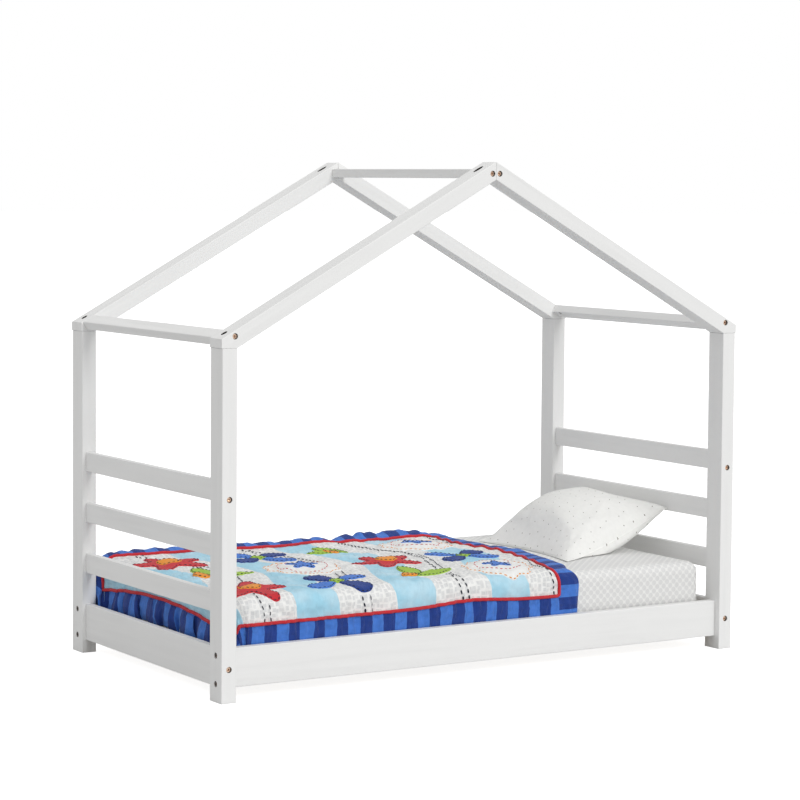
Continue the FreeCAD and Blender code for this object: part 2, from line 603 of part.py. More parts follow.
def quilt():
    """The quilt over the foot two thirds of the mattress, hanging at the front and the foot."""
    hem = BASE_TOP + QUILT_HEM
    outer_y = MATTRESS_HALF_WIDTH + SOFT_CLEARANCE + QUILT_HANG_THICKNESS
    outer_x = MATTRESS_FOOT_X - SOFT_CLEARANCE - QUILT_HANG_THICKNESS
    head_x = MATTRESS_HEAD_X - QUILT_SETBACK
    x1 = head_x + 2 * QUILT_BOW
    body = quilt_body(outer_x, outer_y, x1, hem).cut(mattress_outer(SOFT_CLEARANCE))
    bow = Part.Arc(Vector(head_x, -outer_y - 1, 0), Vector(head_x + QUILT_BOW, 0, 0),
                   Vector(head_x, outer_y + 1, 0)).toShape()
    beyond = Part.makePolygon([Vector(head_x, outer_y + 1, 0), Vector(x1 + 1, outer_y + 1, 0),
                               Vector(x1 + 1, -outer_y - 1, 0), Vector(head_x, -outer_y - 1, 0)])
    trim = Part.Face(Part.Wire([bow] + beyond.Edges)).extrude(Vector(0, 0, 2 * MATTRESS_TOP))
    return body.cut(quilt_back_trim(outer_x, outer_y, x1, hem)).cut(trim)


def pillow():
    """A plump pillow with drawn-in sides, cut flat where it rests on the mattress and the end slats."""
    half = PILLOW_LENGTH / 2
    wires = []
    for t in PILLOW_STATIONS:
        full = 1 - t * t
        reach = PILLOW_WIDTH / 2 - PILLOW_WAIST * full
        rise = full ** PILLOW_FULLNESS
        upper = PILLOW_SEAM / 2 + PILLOW_UPPER * rise
        lower = PILLOW_SEAM / 2 + PILLOW_LOWER * rise
        y = t * half
        arcs = [
            Part.Arc(Vector(-reach, y, 0), Vector(0, y, upper), Vector(reach, y, 0)).toShape(),
            Part.Arc(Vector(reach, y, 0), Vector(0, y, -lower), Vector(-reach, y, 0)).toShape(),
        ]
        wires.append(Part.Wire(arcs))
    body = Part.makeLoft(wires, True, False)
    chord = PILLOW_WIDTH / 2
    waist_radius = (chord ** 2 + PILLOW_END_WAIST ** 2) / (2 * PILLOW_END_WAIST)
    for s in (-1, 1):
        axis_y = s * (half + waist_radius - PILLOW_END_WAIST)
        body = body.cut(rod(waist_radius, 4 * PILLOW_UPPER, Vector(0, axis_y, -2 * PILLOW_UPPER), Z_AXIS))
    tilt = math.radians(PILLOW_TILT)
    upper_x = END_SLAT_INNER_X - SOFT_CLEARANCE
    middle = Vector(upper_x - PILLOW_WIDTH / 2 * math.cos(tilt), PILLOW_SHIFT,
                    MATTRESS_TOP + PILLOW_LIFT + PILLOW_WIDTH / 2 * math.sin(tilt))
    body.Placement = FreeCAD.Placement(middle, Rotation(Y_AXIS, -PILLOW_TILT))
    below = block(-HALF_LENGTH, HALF_LENGTH, -HALF_WIDTH, HALF_WIDTH, 0, MATTRESS_TOP + SOFT_CLEARANCE)
    beyond = block(upper_x, HALF_LENGTH, -HALF_WIDTH, HALF_WIDTH, 0, POST_HEIGHT)
    return body.cut(below).cut(beyond)


# ---------------------------------------------------------------------------------------------
# The nodes
# ---------------------------------------------------------------------------------------------

def build_frame():
    """Posts, rafters, bars, rails and end slats."""
    foot_front_post = post()
    foot_front_rafter = rafter()
    nut_side = [place(b, HEAD, FRONT) for b in bores_apex]
    for end, side in corners():
        label = SIDE_NAMES[side] + "_" + END_NAMES[end]
        keep("post_" + label, place(foot_front_post, end, side))
        across = bores_apex if end == FOOT else nut_side
        keep("rafter_" + label, place(drilled(foot_front_rafter, across), end, side))
    for side in (FRONT, BACK):
        keep("side_rail_" + SIDE_NAMES[side], place(side_rail(), FOOT, side))
    rail_holes = bores_end_rail[1:] + [hole for _, hole in rail_dowels]
    end_rail = end_board(END_RAIL_THICKNESS, RAIL_BASE, RAIL_HEIGHT, rail_holes)
    for end in (FOOT, HEAD):
        name = END_NAMES[end]
        keep("end_rail_" + name, place(end_rail, end, FRONT))
        for k, base in enumerate(SLAT_BASES):
            if k < END_SLAT_COUNT - 1:
                holes = [hole for _, hole in slat_dowels[2 * k:2 * k + 2]]
            else:
                holes = bores_top_slat[1:] + [top_slat_dowel[1]]
            slat = end_board(END_SLAT_THICKNESS, base, END_SLAT_HEIGHT, holes)
            keep("end_slat_%s_%d" % (name, k + 1), place(slat, end, FRONT))
        keep("eave_bar_" + name, place(eave_bar(), end, FRONT))
    keep("ridge_bar", ridge_bar())


def build_base():
    """Ledges, base slats, tapes, and what fixes them."""
    for side in (FRONT, BACK):
        keep("ledge_" + SIDE_NAMES[side], place(ledge(), FOOT, side))
        keep("slat_tape_" + SIDE_NAMES[side], place(tape(), FOOT, side))
    for k, x in enumerate(base_slat_places()):
        keep("base_slat_%02d" % (k + 1), base_slat(x))
    keep("ledge_screws", ledge_screws + [place(s, FOOT, BACK) for s in ledge_screws])
    keep("slat_screws", slat_screws)
    keep("tape_staples", staples)


def build_fasteners():
    """Bolts, barrel nuts, inserts and dowels, one node for each place and size."""
    groups = {
        "side_rail": side_rail_bolts,
        "end_frame": [end_rail_bolt, top_slat_bolt],
        "roof_bar": [eave_bolt, ridge_bolt],
    }
    for name, joints in groups.items():
        keep("bolts_" + name, everywhere([j.bolt() for j in joints]))
        keep("barrel_nuts_" + name, everywhere([j.nut() for j in joints]))
    keep("bolts_rafter_foot", everywhere([rafter_foot_bolt.bolt()]))
    keep("inserts_rafter_foot", everywhere([rafter_foot_bolt.nut()]))
    for name, shape in (("bolts_apex", apex_bolt.bolt()), ("inserts_apex", apex_bolt.nut())):
        keep(name, [shape, place(shape, FOOT, BACK)])
    keep("dowels_end_frame", everywhere([body for body, _ in end_dowels]))
    keep("dowels_eave_bar", everywhere([eave_dowel[0]]))


def build_bedding():
    """Mattress with its fitted sheet, quilt and pillow."""
    core = soft_block(MATTRESS_FOOT_X + SHEET_THICKNESS, MATTRESS_HEAD_X - SHEET_THICKNESS,
                      MATTRESS_HALF_WIDTH - SHEET_THICKNESS, BASE_TOP + SHEET_THICKNESS,
                      MATTRESS_TOP - SHEET_THICKNESS, MATTRESS_CORNER_RADIUS - SHEET_THICKNESS,
                      MATTRESS_EDGE_RADIUS - SHEET_THICKNESS)
    keep("mattress_core", core)
    keep("fitted_sheet", fitted_sheet(core))
    keep("quilt", quilt())
    keep("pillow", pillow())


build_frame()
build_base()
build_fasteners()
build_bedding()

os.makedirs("parts", exist_ok=True)
for node_name, node_shape in nodes.items():
    if not node_shape.isValid():
        print("not valid:", node_name)
    node_shape.exportStep(os.path.join("parts", node_name + ".step"))
    print("%-24s %3d solids %12.0f mm3" % (node_name, len(node_shape.Solids), node_shape.Volume))
print("nodes:", len(nodes))
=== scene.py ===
"""A child's house frame bed: the finish of its timber and fittings, and its bedding as cloth.

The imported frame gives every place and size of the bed. Lengths are in metres, +X runs from the foot end
to the head end, +Y from the front long side to the back one, and +Z up.
"""

from __future__ import annotations

import json
import logging
import math
from dataclasses import dataclass, field
from enum import Enum

import bpy
import numpy as np
from mathutils import Matrix, Vector

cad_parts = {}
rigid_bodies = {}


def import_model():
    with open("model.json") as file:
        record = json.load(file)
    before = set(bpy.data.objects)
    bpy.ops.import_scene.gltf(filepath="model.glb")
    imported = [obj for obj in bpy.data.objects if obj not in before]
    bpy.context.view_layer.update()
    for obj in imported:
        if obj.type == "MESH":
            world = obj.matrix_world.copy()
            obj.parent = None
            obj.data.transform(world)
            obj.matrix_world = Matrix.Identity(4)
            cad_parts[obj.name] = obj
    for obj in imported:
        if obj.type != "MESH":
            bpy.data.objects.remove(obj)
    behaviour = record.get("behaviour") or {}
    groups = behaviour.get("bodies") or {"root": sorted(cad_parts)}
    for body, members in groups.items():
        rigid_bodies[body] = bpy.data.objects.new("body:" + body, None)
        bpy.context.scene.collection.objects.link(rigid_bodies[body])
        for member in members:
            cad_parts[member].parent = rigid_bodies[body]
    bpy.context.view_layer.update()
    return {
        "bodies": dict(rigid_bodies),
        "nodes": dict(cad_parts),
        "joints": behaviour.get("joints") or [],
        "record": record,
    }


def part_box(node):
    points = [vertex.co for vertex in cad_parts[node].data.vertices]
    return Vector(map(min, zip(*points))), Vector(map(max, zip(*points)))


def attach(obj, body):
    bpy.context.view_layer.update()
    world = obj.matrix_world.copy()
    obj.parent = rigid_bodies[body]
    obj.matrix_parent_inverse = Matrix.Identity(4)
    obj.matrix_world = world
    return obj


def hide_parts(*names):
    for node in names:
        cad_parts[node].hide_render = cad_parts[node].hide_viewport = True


LOG = logging.getLogger("house_frame_bed")

Colour = tuple[float, float, float]
Reach = tuple[float, float, float]
Array = np.ndarray
Piece = bpy.types.Object
Socket = bpy.types.NodeSocket


# ----------------------------------------------------------------------------------------------
# Small helpers
# ----------------------------------------------------------------------------------------------


def paint(code: str) -> Colour:
    """Turns a written colour into the linear one that shaders take.

    Args:
        code: Six hexadecimal digits, as on a paint card.

    Returns:
        Linear red, green and blue.
    """
    parts = [int(code[k:k + 2], 16) / 255 for k in (0, 2, 4)]
    red, green, blue = [p / 12.92 if p <= 0.04045 else ((p + 0.055) / 1.055) ** 2.4 for p in parts]
    return red, green, blue


def ease(value: Array, low: float, high: float) -> Array:
    """Rises smoothly from 0 at low to 1 at high."""
    share = np.clip((value - low) / (high - low), 0.0, 1.0)
    return share * share * (3 - 2 * share)


def bump_at(value: Array, middle: float, width: float) -> Array:
    """A smooth hump of height 1 round a middle."""
    return np.exp(-(((value - middle) / width) ** 2))


def deselect() -> None:
    """Leaves edit mode and empties the selection."""
    if bpy.context.object and bpy.context.object.mode != "OBJECT":
        bpy.ops.object.mode_set(mode="OBJECT")
    bpy.ops.object.select_all(action="DESELECT")


def activate(piece: Piece) -> None:
    """Makes a piece the only selected one."""
    deselect()
    piece.select_set(True)
    bpy.context.view_layer.objects.active = piece


def settle(piece: Piece) -> None:
    """Moves a piece's place into its mesh, so that its object stands at the origin."""
    activate(piece)
    bpy.ops.object.transform_apply(location=True, rotation=True, scale=True)


def apply_modifiers(piece: Piece) -> None:
    """Applies every modifier of a piece, in order."""
    activate(piece)
    for name in [m.name for m in piece.modifiers]:
        bpy.ops.object.modifier_apply(modifier=name)


def points_of(piece: Piece) -> Array:
    """The points of a piece's mesh, as rows of x, y and z."""
    found = np.zeros(len(piece.data.vertices) * 3)
    piece.data.vertices.foreach_get("co", found)
    return found.reshape(-1, 3)


def move_points(piece: Piece, points: Array) -> None:
    """Sets the points of a piece's mesh."""
    piece.data.vertices.foreach_set("co", np.asarray(points, float).ravel())
    piece.data.update()


def mesh_piece(name: str, points: Array, faces: list[tuple[int, ...]] | Array) -> Piece:
    """Makes a piece from points and faces.

    Args:
        name: The piece's name.
        points: Rows of x, y and z.
        faces: The corners of each face, by point number.

    Returns:
        The new piece, shaded smooth.
    """
    mesh = bpy.data.meshes.new(name)
    mesh.from_pydata([tuple(p) for p in points], [], [tuple(int(i) for i in f) for f in faces])
    piece = bpy.data.objects.new(name, mesh)
    bpy.context.scene.collection.objects.link(piece)
    mesh.shade_smooth()
    return piece


def set_uv(piece: Piece, flat: Array) -> None:
    """Gives a piece one UV map, in metres of flat cloth.

    Args:
        piece: A mesh piece.
        flat: Rows of u and v, one for each point, or one for each corner of a face.
    """
    mesh = piece.data
    while mesh.uv_layers:
        mesh.uv_layers.remove(mesh.uv_layers[0])
    layer = mesh.uv_layers.new(name="flat")
    if len(flat) == len(mesh.vertices):
        corner = np.zeros(len(mesh.loops), int)
        mesh.loops.foreach_get("vertex_index", corner)
        flat = flat[corner]
    layer.data.foreach_set("uv", np.asarray(flat, float).ravel())


def grid_faces(rows: int, columns: int, ring: bool = False, tube: bool = False) -> list[tuple[int, ...]]:
    """The quads of a grid whose points are numbered row by row.

    Args:
        rows: Number of rows of points.
        columns: Number of points in each row.
        ring: Whether the last row joins the first.
        tube: Whether the last column joins the first.

    Returns:
        The quads.
    """
    faces = []
    for r in range(rows if ring else rows - 1):
        here, there = r * columns, (r + 1) % rows * columns
        for c in range(columns if tube else columns - 1):
            n = (c + 1) % columns
            faces.append((here + c, here + n, there + n, there + c))
    return faces


def two_layers(name: str, top: Array, below: Array, flat: Array) -> tuple[Piece, Array]:
    """Makes one closed piece of two grids of points that share the upper one's rim.

    Args:
        name: The piece's name.
        top: The upper layer, as rows and columns of points.
        below: The lower layer, of the same shape.
        flat: Where the points lie on the flat cloth.

    Returns:
        The piece, whose first half of faces are the upper layer's, and its points on the flat cloth.
    """
    inside = np.zeros(top.shape[:2], bool)
    inside[1:-1, 1:-1] = True
    number = np.arange(inside.size)
    number[inside.ravel()] = inside.size + np.arange(inside.sum())
    faces = grid_faces(*inside.shape)
    under = [tuple(int(number[i]) for i in reversed(face)) for face in faces]
    piece = mesh_piece(name, np.vstack([top.reshape(-1, 3), below[inside]]), faces + under)
    return piece, np.vstack([flat.reshape(-1, 2), flat[inside]])


def slice_up(axis: int, stops: Array | list[float]) -> None:
    """Cuts the mesh in edit mode across an axis at each stop."""
    normal = [float(axis == k) for k in range(3)]
    for stop in stops:
        bpy.ops.mesh.select_all(action="SELECT")
        bpy.ops.mesh.bisect(plane_co=[stop * part for part in normal], plane_no=normal)


def hand_over(pieces: list[Piece], body: str, node: str) -> None:
    """Gives pieces to a body; the first one takes the place of a CAD node, which is hidden.

    Args:
        pieces: The pieces.
        body: The body that they ride on.
        node: The CAD node that the first piece replaces.
    """
    for piece in pieces:
        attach(piece, body)
    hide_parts(node)


def cord_along(name: str, middle: Array, up: Array, radius: float, sides: int = 8,
               closed: bool = True) -> Piece:
    """Sweeps a thin round cord along a line on cloth.

    Args:
        name: The piece's name.
        middle: Points of the line.
        up: The cloth's direction outwards at each point.
        radius: The cord's radius.
        sides: Number of sides.
        closed: Whether the line joins up with its start.

    Returns:
        The cord.
    """
    ahead = np.roll(middle, -1, 0) - np.roll(middle, 1, 0)
    if not closed:
        ahead[0] = middle[1] - middle[0]
        ahead[-1] = middle[-1] - middle[-2]
    ahead /= np.linalg.norm(ahead, axis=1)[:, None]
    side = np.cross(ahead, up)
    side /= np.linalg.norm(side, axis=1)[:, None]
    over = np.cross(side, ahead)
    turns = np.arange(sides) * 2 * math.pi / sides
    rings = middle[:, None] + radius * (np.cos(turns)[None, :, None] * side[:, None]
                                        + np.sin(turns)[None, :, None] * over[:, None])
    count = len(middle)
    faces = [(a, d, c, b) for a, b, c, d in grid_faces(count, sides, ring=closed, tube=True)]
    if not closed:
        faces += [tuple(range(sides)), tuple(reversed(range((count - 1) * sides, count * sides)))]
    return mesh_piece(name, rings.reshape(-1, 3), faces)


# ----------------------------------------------------------------------------------------------
# Finishes
# ----------------------------------------------------------------------------------------------


class Follow(Enum):
    """What a pattern follows: the bed's own axes, or the flat cloth."""

    PLACE = "Object"
    CLOTH = "UV"


ROOF_SLOPE = math.radians(28.8)


class Grain(Enum):
    """Which way a board's grain runs, as the turn that lays it along X."""

    ALONG = (0.0, 0.0, 0.0)
    ACROSS = (0.0, 0.0, -math.pi / 2)
    UPRIGHT = (0.0, math.pi / 2, 0.0)
    RISING = (0.0, ROOF_SLOPE, 0.0)
    FALLING = (0.0, -ROOF_SLOPE, 0.0)


class Recipe:
    """A tree of shader nodes, with a short method for each kind that the finishes use."""

    def __init__(self, tree: bpy.types.NodeTree) -> None:
        """Works on a tree that is there."""
        self.tree = tree

    def node(self, kind: str) -> bpy.types.Node:
        """Adds a node of a kind."""
        return self.tree.nodes.new(kind)

    def feed(self, target: Socket, value: Socket | float | Colour) -> None:
        """Links a socket, or sets a plain value."""
        if isinstance(value, Socket):
            self.tree.links.new(value, target)
        elif isinstance(value, tuple) and target.type == "RGBA":
            target.default_value = (*value, 1.0)
        else:
            target.default_value = value

    def coordinates(self, follow: Follow, turn: Colour = (0.0, 0.0, 0.0),
                    scale: Colour = (1.0, 1.0, 1.0)) -> Socket:
        """Pattern coordinates in metres, turned and then scaled.

        Args:
            follow: What the pattern follows.
            turn: Angles about X, Y and Z.
            scale: Factors along the turned axes.

        Returns:
            The coordinate socket.
        """
        source = self.node("ShaderNodeTexCoord").outputs[follow.value]
        for name, value in (("Rotation", turn), ("Scale", scale)):
            mapping = self.node("ShaderNodeMapping")
            mapping.inputs[name].default_value = value
            self.feed(mapping.inputs["Vector"], source)
            source = mapping.outputs[0]
        return source

    def math(self, operation: str, first: Socket | float,
             second: Socket | float = 0.0,
             third: Socket | float = 0.0) -> Socket:
        """One step of arithmetic."""
        step = self.node("ShaderNodeMath")
        step.operation = operation
        for socket, value in zip(step.inputs, (first, second, third)):
            self.feed(socket, value)
        return step.outputs[0]

    def parts(self, vector: Socket) -> list[Socket]:
        """The three parts of a vector."""
        split = self.node("ShaderNodeSeparateXYZ")
        self.feed(split.inputs[0], vector)
        return list(split.outputs)

    def noise(self, vector: Socket, scale: float, detail: float = 2.0) -> Socket:
        """Soft noise between 0 and 1."""
        texture = self.node("ShaderNodeTexNoise")
        texture.inputs["Scale"].default_value = scale
        texture.inputs["Detail"].default_value = detail
        self.feed(texture.inputs["Vector"], vector)
        return texture.outputs[0]

    def streaks(self, grain: Grain, stretch: Reach, detail: float = 2.0) -> Socket:
        """Noise drawn out along a board's grain."""
        return self.noise(self.coordinates(Follow.PLACE, grain.value, stretch), 1.0, detail)

    def cells(self, vector: Socket, scale: float, irregular: float, output: str = "Distance",
              flat: bool = True, square: bool = False) -> Socket:
        """Scattered cells: the distance to the nearest middle, or the cell's own colour."""
        texture = self.node("ShaderNodeTexVoronoi")
        texture.distance = "CHEBYCHEV" if square else "EUCLIDEAN"
        texture.voronoi_dimensions = "2D" if flat else "3D"
        texture.inputs["Scale"].default_value = scale
        texture.inputs["Randomness"].default_value = irregular
        self.feed(texture.inputs["Vector"], vector)
        return texture.outputs[output]

    def between(self, value: Socket, low: float, high: float, bottom: float = 0.0,
                top: float = 1.0) -> Socket:
        """Maps a range smoothly to another one and holds it there."""
        remap = self.node("ShaderNodeMapRange")
        remap.interpolation_type = "SMOOTHSTEP"
        self.feed(remap.inputs["Value"], value)
        for name, number in (("From Min", low), ("From Max", high), ("To Min", bottom), ("To Max", top)):
            remap.inputs[name].default_value = number
        return remap.outputs[0]

    def mix(self, share: Socket, first: Socket | Colour,
            second: Socket | Colour, way: str = "MIX") -> Socket:
        """Blends two colours."""
        blend = self.node("ShaderNodeMix")
        blend.data_type, blend.blend_type = "RGBA", way
        for index, value in ((0, share), (6, first), (7, second)):
            self.feed(blend.inputs[index], value)
        return blend.outputs[2]

    def painted_crevice_shade(self, colour: Socket, dark: Colour) -> Socket:
        """Paints shade into a colour inside narrow holes and seams, by ambient occlusion: painted shade where
        little light reaches.
        """
        shade = self.node("ShaderNodeAmbientOcclusion")
        shade.samples = 8
        shade.inputs["Distance"].default_value = 0.02
        return self.mix(self.between(shade.outputs["AO"], 0.25, 0.56), dark, colour)


class Surface(Recipe):
    """A new material's nodes, round one surface shader."""

    def __init__(self, name: str, roughness: float, **settings: float | Colour) -> None:
        """Starts a material.

        Args:
            name: The material's name.
            roughness: The shader's roughness.
            settings: Values of the shader's other sockets, with _ for each space in their names.
        """
        self.material = bpy.data.materials.new(name)
        self.material.use_nodes = True
        super().__init__(self.material.node_tree)
        self.tree.nodes.clear()
        self.shader = self.node("ShaderNodeBsdfPrincipled")
        for key, value in {"Roughness": roughness, **settings}.items():
            self.feed(self.shader.inputs[key.replace("_", " ")], value)
        output = self.node("ShaderNodeOutputMaterial")
        self.tree.links.new(self.shader.outputs[0], output.inputs[0])

    def relief(self, height: Socket, depth: float) -> None:
        """Lets a height bend the shading, depth metres from 0 to 1."""
        bump = self.node("ShaderNodeBump")
        bump.inputs["Strength"].default_value = 1.0
        bump.inputs["Distance"].default_value = depth
        self.feed(bump.inputs["Height"], height)
        if self.shader.inputs["Normal"].is_linked:
            self.feed(bump.inputs["Normal"], self.shader.inputs["Normal"].links[0].from_socket)
        self.feed(self.shader.inputs["Normal"], bump.outputs[0])

    def weave(self, pitch: float, depth: float) -> None:
        """Raises crossing threads on the flat cloth."""
        rate = 2 * math.pi / pitch
        waves = [self.math("SINE", self.math("MULTIPLY", part, rate))
                 for part in self.parts(self.coordinates(Follow.CLOTH))[:2]]
        self.relief(self.math("MULTIPLY", *waves), depth)

    def done(self, colour: Socket | Colour) -> bpy.types.Material:
        """Sets the surface's colour and gives the material."""
        self.feed(self.shader.inputs["Base Color"], colour)
        return self.material


@dataclass(frozen=True)
class Finish:
    """A surface that pieces share: its name and its main colour."""

    name: str
    colour: Colour

    def material(self) -> bpy.types.Material:
        """The finish as a material, made the first time that it is asked for."""
        return bpy.data.materials.get(self.name) or self.make()

    def make(self) -> bpy.types.Material:
        """Makes the material."""
        raise NotImplementedError

    def dress(self, piece: Piece, flat: Array | None = None) -> Piece:
        """Gives a piece this finish alone.

        Args:
            piece: The piece.
            flat: Where its points lie on the flat cloth, for a finish that follows the cloth.

        Returns:
            The piece.
        """
        if flat is not None:
            set_uv(piece, flat)
        piece.data.materials.clear()
        piece.data.materials.append(self.material())
        return piece


def darker(colour: Colour, share: float) -> Colour:
    """A share of a colour's light."""
    return tuple(share * part for part in colour)


@dataclass(frozen=True)
class Bores:
    """The rafters' holes, painted dark: bare wood with painted shade. One goes straight down, the other runs
    level at the peak.

    The first runs through foot's x and y, the second through peak's y and z.
    """

    foot: Vector
    peak: Vector
    radius: float = 0.00715
    reach: float = 0.1

    @classmethod
    def round_bolts(cls, head_radius: float = 0.0066) -> Bores:
        """The holes round the frame's bolts, by the boxes that their heads fill."""
        inward = Vector((head_radius,) * 3)
        return cls(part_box("bolts_rafter_foot")[1] - inward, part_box("bolts_apex")[1] - inward)

    def mask(self, recipe: Recipe) -> Socket:
        """1 inside the holes and 0 elsewhere."""
        x, y, z = recipe.parts(recipe.coordinates(Follow.PLACE))
        x, y = recipe.math("ABSOLUTE", x), recipe.math("ABSOLUTE", y)
        down = self.inside(recipe, (x, self.foot.x), (y, self.foot.y))
        level = self.inside(recipe, (y, self.peak.y), (z, self.peak.z))
        near = recipe.math("LESS_THAN", x, self.reach)
        return recipe.math("MAXIMUM", down, recipe.math("MULTIPLY", level, near))

    def inside(self, recipe: Recipe, *pairs: tuple[Socket, float]) -> Socket:
        """Whether a point lies within the radius of an axis, by two of its coordinates."""
        squares = []
        for value, middle in pairs:
            away = recipe.math("SUBTRACT", value, middle)
            squares.append(recipe.math("MULTIPLY", away, away))
        return recipe.math("LESS_THAN", recipe.math("ADD", *squares), self.radius ** 2)


@dataclass(frozen=True)
class SatinPaint(Finish):
    """Satin lacquer sprayed on planed pine, whose grain still shows a little."""

    grain: Grain
    bores: Bores | None = None

    def make(self) -> bpy.types.Material:
        """Makes the material."""
        recipe = Surface(self.name, 0.42, Specular_IOR_Level=0.22)
        place = recipe.coordinates(Follow.PLACE)
        streaks = recipe.streaks(self.grain, (3.0, 60.0, 60.0), 3.0)
        pores = recipe.streaks(self.grain, (25.0, 700.0, 700.0))
        clouds = recipe.noise(place, 5.0)
        tone = recipe.mix(recipe.between(streaks, 0.35, 0.75), self.colour, darker(self.colour, 0.955))
        cloudy = recipe.mix(recipe.between(clouds, 0.3, 0.8), tone, self.colour)
        recipe.relief(streaks, 0.0004)
        recipe.relief(pores, 0.00006)
        recipe.relief(recipe.noise(place, 900.0), 0.00003)
        recipe.feed(recipe.shader.inputs["Roughness"], recipe.between(streaks, 0.2, 0.8, 0.5, 0.62))
        # Painted shade: the paint darkens in holes and seams by ambient occlusion.
        shaded_paint = recipe.painted_crevice_shade(cloudy, darker(self.colour, 0.12))
        # Inside the bores the colour is dark brown-black: bare wood, with painted shade.
        if self.bores:
            shaded_paint = recipe.mix(self.bores.mask(recipe), shaded_paint, paint("2B2723"))
        return recipe.done(shaded_paint)


@dataclass(frozen=True)
class BareTimber(Finish):
    """Planed timber without any coat: early and late wood in streaks, and a few knots."""

    grain: Grain
    late_wood: Colour

    def make(self) -> bpy.types.Material:
        """Makes the material."""
        recipe = Surface(self.name, 0.62)
        broad = recipe.streaks(self.grain, (1.6, 26.0, 26.0), 4.0)
        rings = recipe.math("SINE", recipe.math("MULTIPLY", broad, 60.0))
        fibres = recipe.streaks(self.grain, (14.0, 900.0, 900.0))
        knots = recipe.cells(recipe.coordinates(Follow.PLACE, self.grain.value, (3.0, 9.0, 9.0)), 1.0, 1.0,
                             flat=False)
        tone = recipe.mix(recipe.between(rings, -0.2, 1.0), self.colour, self.late_wood)
        knotty = recipe.mix(recipe.between(knots, 0.02, 0.07), darker(self.late_wood, 0.45), tone)
        recipe.relief(rings, 0.00012)
        recipe.relief(fibres, 0.00008)
        return recipe.done(knotty)


@dataclass(frozen=True)
class Metal(Finish):
    """Plated or bronzed metal with fine scratches and darker patches."""

    tarnish: Colour
    roughness: float

    def make(self) -> bpy.types.Material:
        """Makes the material."""
        recipe = Surface(self.name, self.roughness, Metallic=1.0)
        place = recipe.coordinates(Follow.PLACE)
        patches = recipe.noise(place, 420.0, 3.0)
        recipe.relief(recipe.noise(place, 2600.0), 0.00002)
        recipe.feed(recipe.shader.inputs["Roughness"],
                    recipe.between(patches, 0.3, 0.8, self.roughness - 0.08, self.roughness + 0.15))
        return recipe.done(recipe.mix(recipe.between(patches, 0.35, 0.8), self.colour, self.tarnish))


@dataclass(frozen=True)
class Webbing(Finish):
    """Flat woven tape, followed by place."""

    def make(self) -> bpy.types.Material:
        """Makes the material."""
        recipe = Surface(self.name, 0.9)
        along, across = recipe.parts(recipe.coordinates(Follow.PLACE))[:2]
        ribs = recipe.math("SINE", recipe.math("MULTIPLY", recipe.math("ADD", along, across), 3600.0))
        recipe.relief(ribs, 0.0002)
        tone = recipe.mix(recipe.between(ribs, -1.0, 1.0), darker(self.colour, 0.86), self.colour)
        return recipe.done(tone)


@dataclass(frozen=True)
class Cotton(Finish):
    """Woven cotton in one dye, slightly uneven, with a soft sheen.

    thread is the weave's pitch, crumple the depth of its soft dents, and creases the depth and the heading
    of finer, drawn-out ones.
    """

    thread: float = 0.0011
    crumple: float = 0.0012
    creases: tuple[float, float] = (0.0, 0.0)

    def start(self) -> Surface:
        """The cloth before its print."""
        recipe = Surface(self.name, 0.85, Specular_IOR_Level=0.2, Sheen_Weight=0.12, Sheen_Roughness=0.5)
        flat = recipe.coordinates(Follow.CLOTH)
        recipe.relief(recipe.noise(flat, 45.0, 3.0), self.crumple)
        if self.creases[0]:
            drawn = recipe.coordinates(Follow.CLOTH, (0.0, 0.0, self.creases[1]), (90.0, 17.0, 1.0))
            recipe.relief(recipe.noise(drawn, 1.0), self.creases[0])
        recipe.weave(self.thread, 0.00012)
        return recipe

    def uneven(self, recipe: Surface, colour: Socket | Colour,
               amount: float = 0.9) -> Socket:
        """Darkens a colour in soft patches, as dyed cloth is.

        Args:
            recipe: The material in the making.
            colour: The even colour.
            amount: What is left of the colour in the darkest patches.

        Returns:
            The uneven colour.
        """
        flat = recipe.coordinates(Follow.CLOTH)
        share = recipe.between(recipe.noise(flat, 70.0, 3.0), 0.35, 0.75)
        return recipe.mix(share, colour, (amount, amount, amount), "MULTIPLY")

    def make(self) -> bpy.types.Material:
        """Makes the material."""
        recipe = self.start()
        return recipe.done(self.uneven(recipe, self.colour))


@dataclass(frozen=True)
class HoneycombCotton(Cotton):
    """Cotton printed with offset rows of soft pale spots."""

    spot: Colour = (0.5, 0.5, 0.5)
    pitch: float = 0.0205
    row: float = 0.0103

    def lattice(self, recipe: Recipe, shift: float) -> Socket:
        """The squared distance to the nearest middle of every other row, in rows."""
        along, across = recipe.parts(recipe.coordinates(Follow.CLOTH))[:2]
        squares = []
        for value, period in ((along, self.pitch), (across, 2 * self.row)):
            phase = recipe.math("FRACT", recipe.math("MULTIPLY_ADD", value, 1 / period, shift))
            away = recipe.math("MULTIPLY", recipe.math("SUBTRACT", phase, 0.5), period / self.row)
            squares.append(recipe.math("MULTIPLY", away, away))
        return recipe.math("ADD", squares[0], squares[1])

    def make(self) -> bpy.types.Material:
        """Makes the material."""
        recipe = self.start()
        nearest = recipe.math("MINIMUM", self.lattice(recipe, 0.0), self.lattice(recipe, 0.5))
        spots = recipe.mix(recipe.between(nearest, 0.28, 0.56), self.spot, self.colour)
        return recipe.done(self.uneven(recipe, spots, 0.96))


@dataclass(frozen=True)
class DottedCotton(Cotton):
    """Cotton with small dots, scattered widely."""

    dot: Colour = (0.2, 0.2, 0.2)
    spacing: float = 0.037
    radius: float = 0.0015

    def make(self) -> bpy.types.Material:
        """Makes the material."""
        recipe = self.start()
        away = recipe.cells(recipe.coordinates(Follow.CLOTH), 1 / self.spacing, 0.45)
        size = self.radius / self.spacing
        dotted = recipe.mix(recipe.between(away, 0.8 * size, 1.2 * size), self.dot, self.colour)
        return recipe.done(self.uneven(recipe, dotted, 0.96))


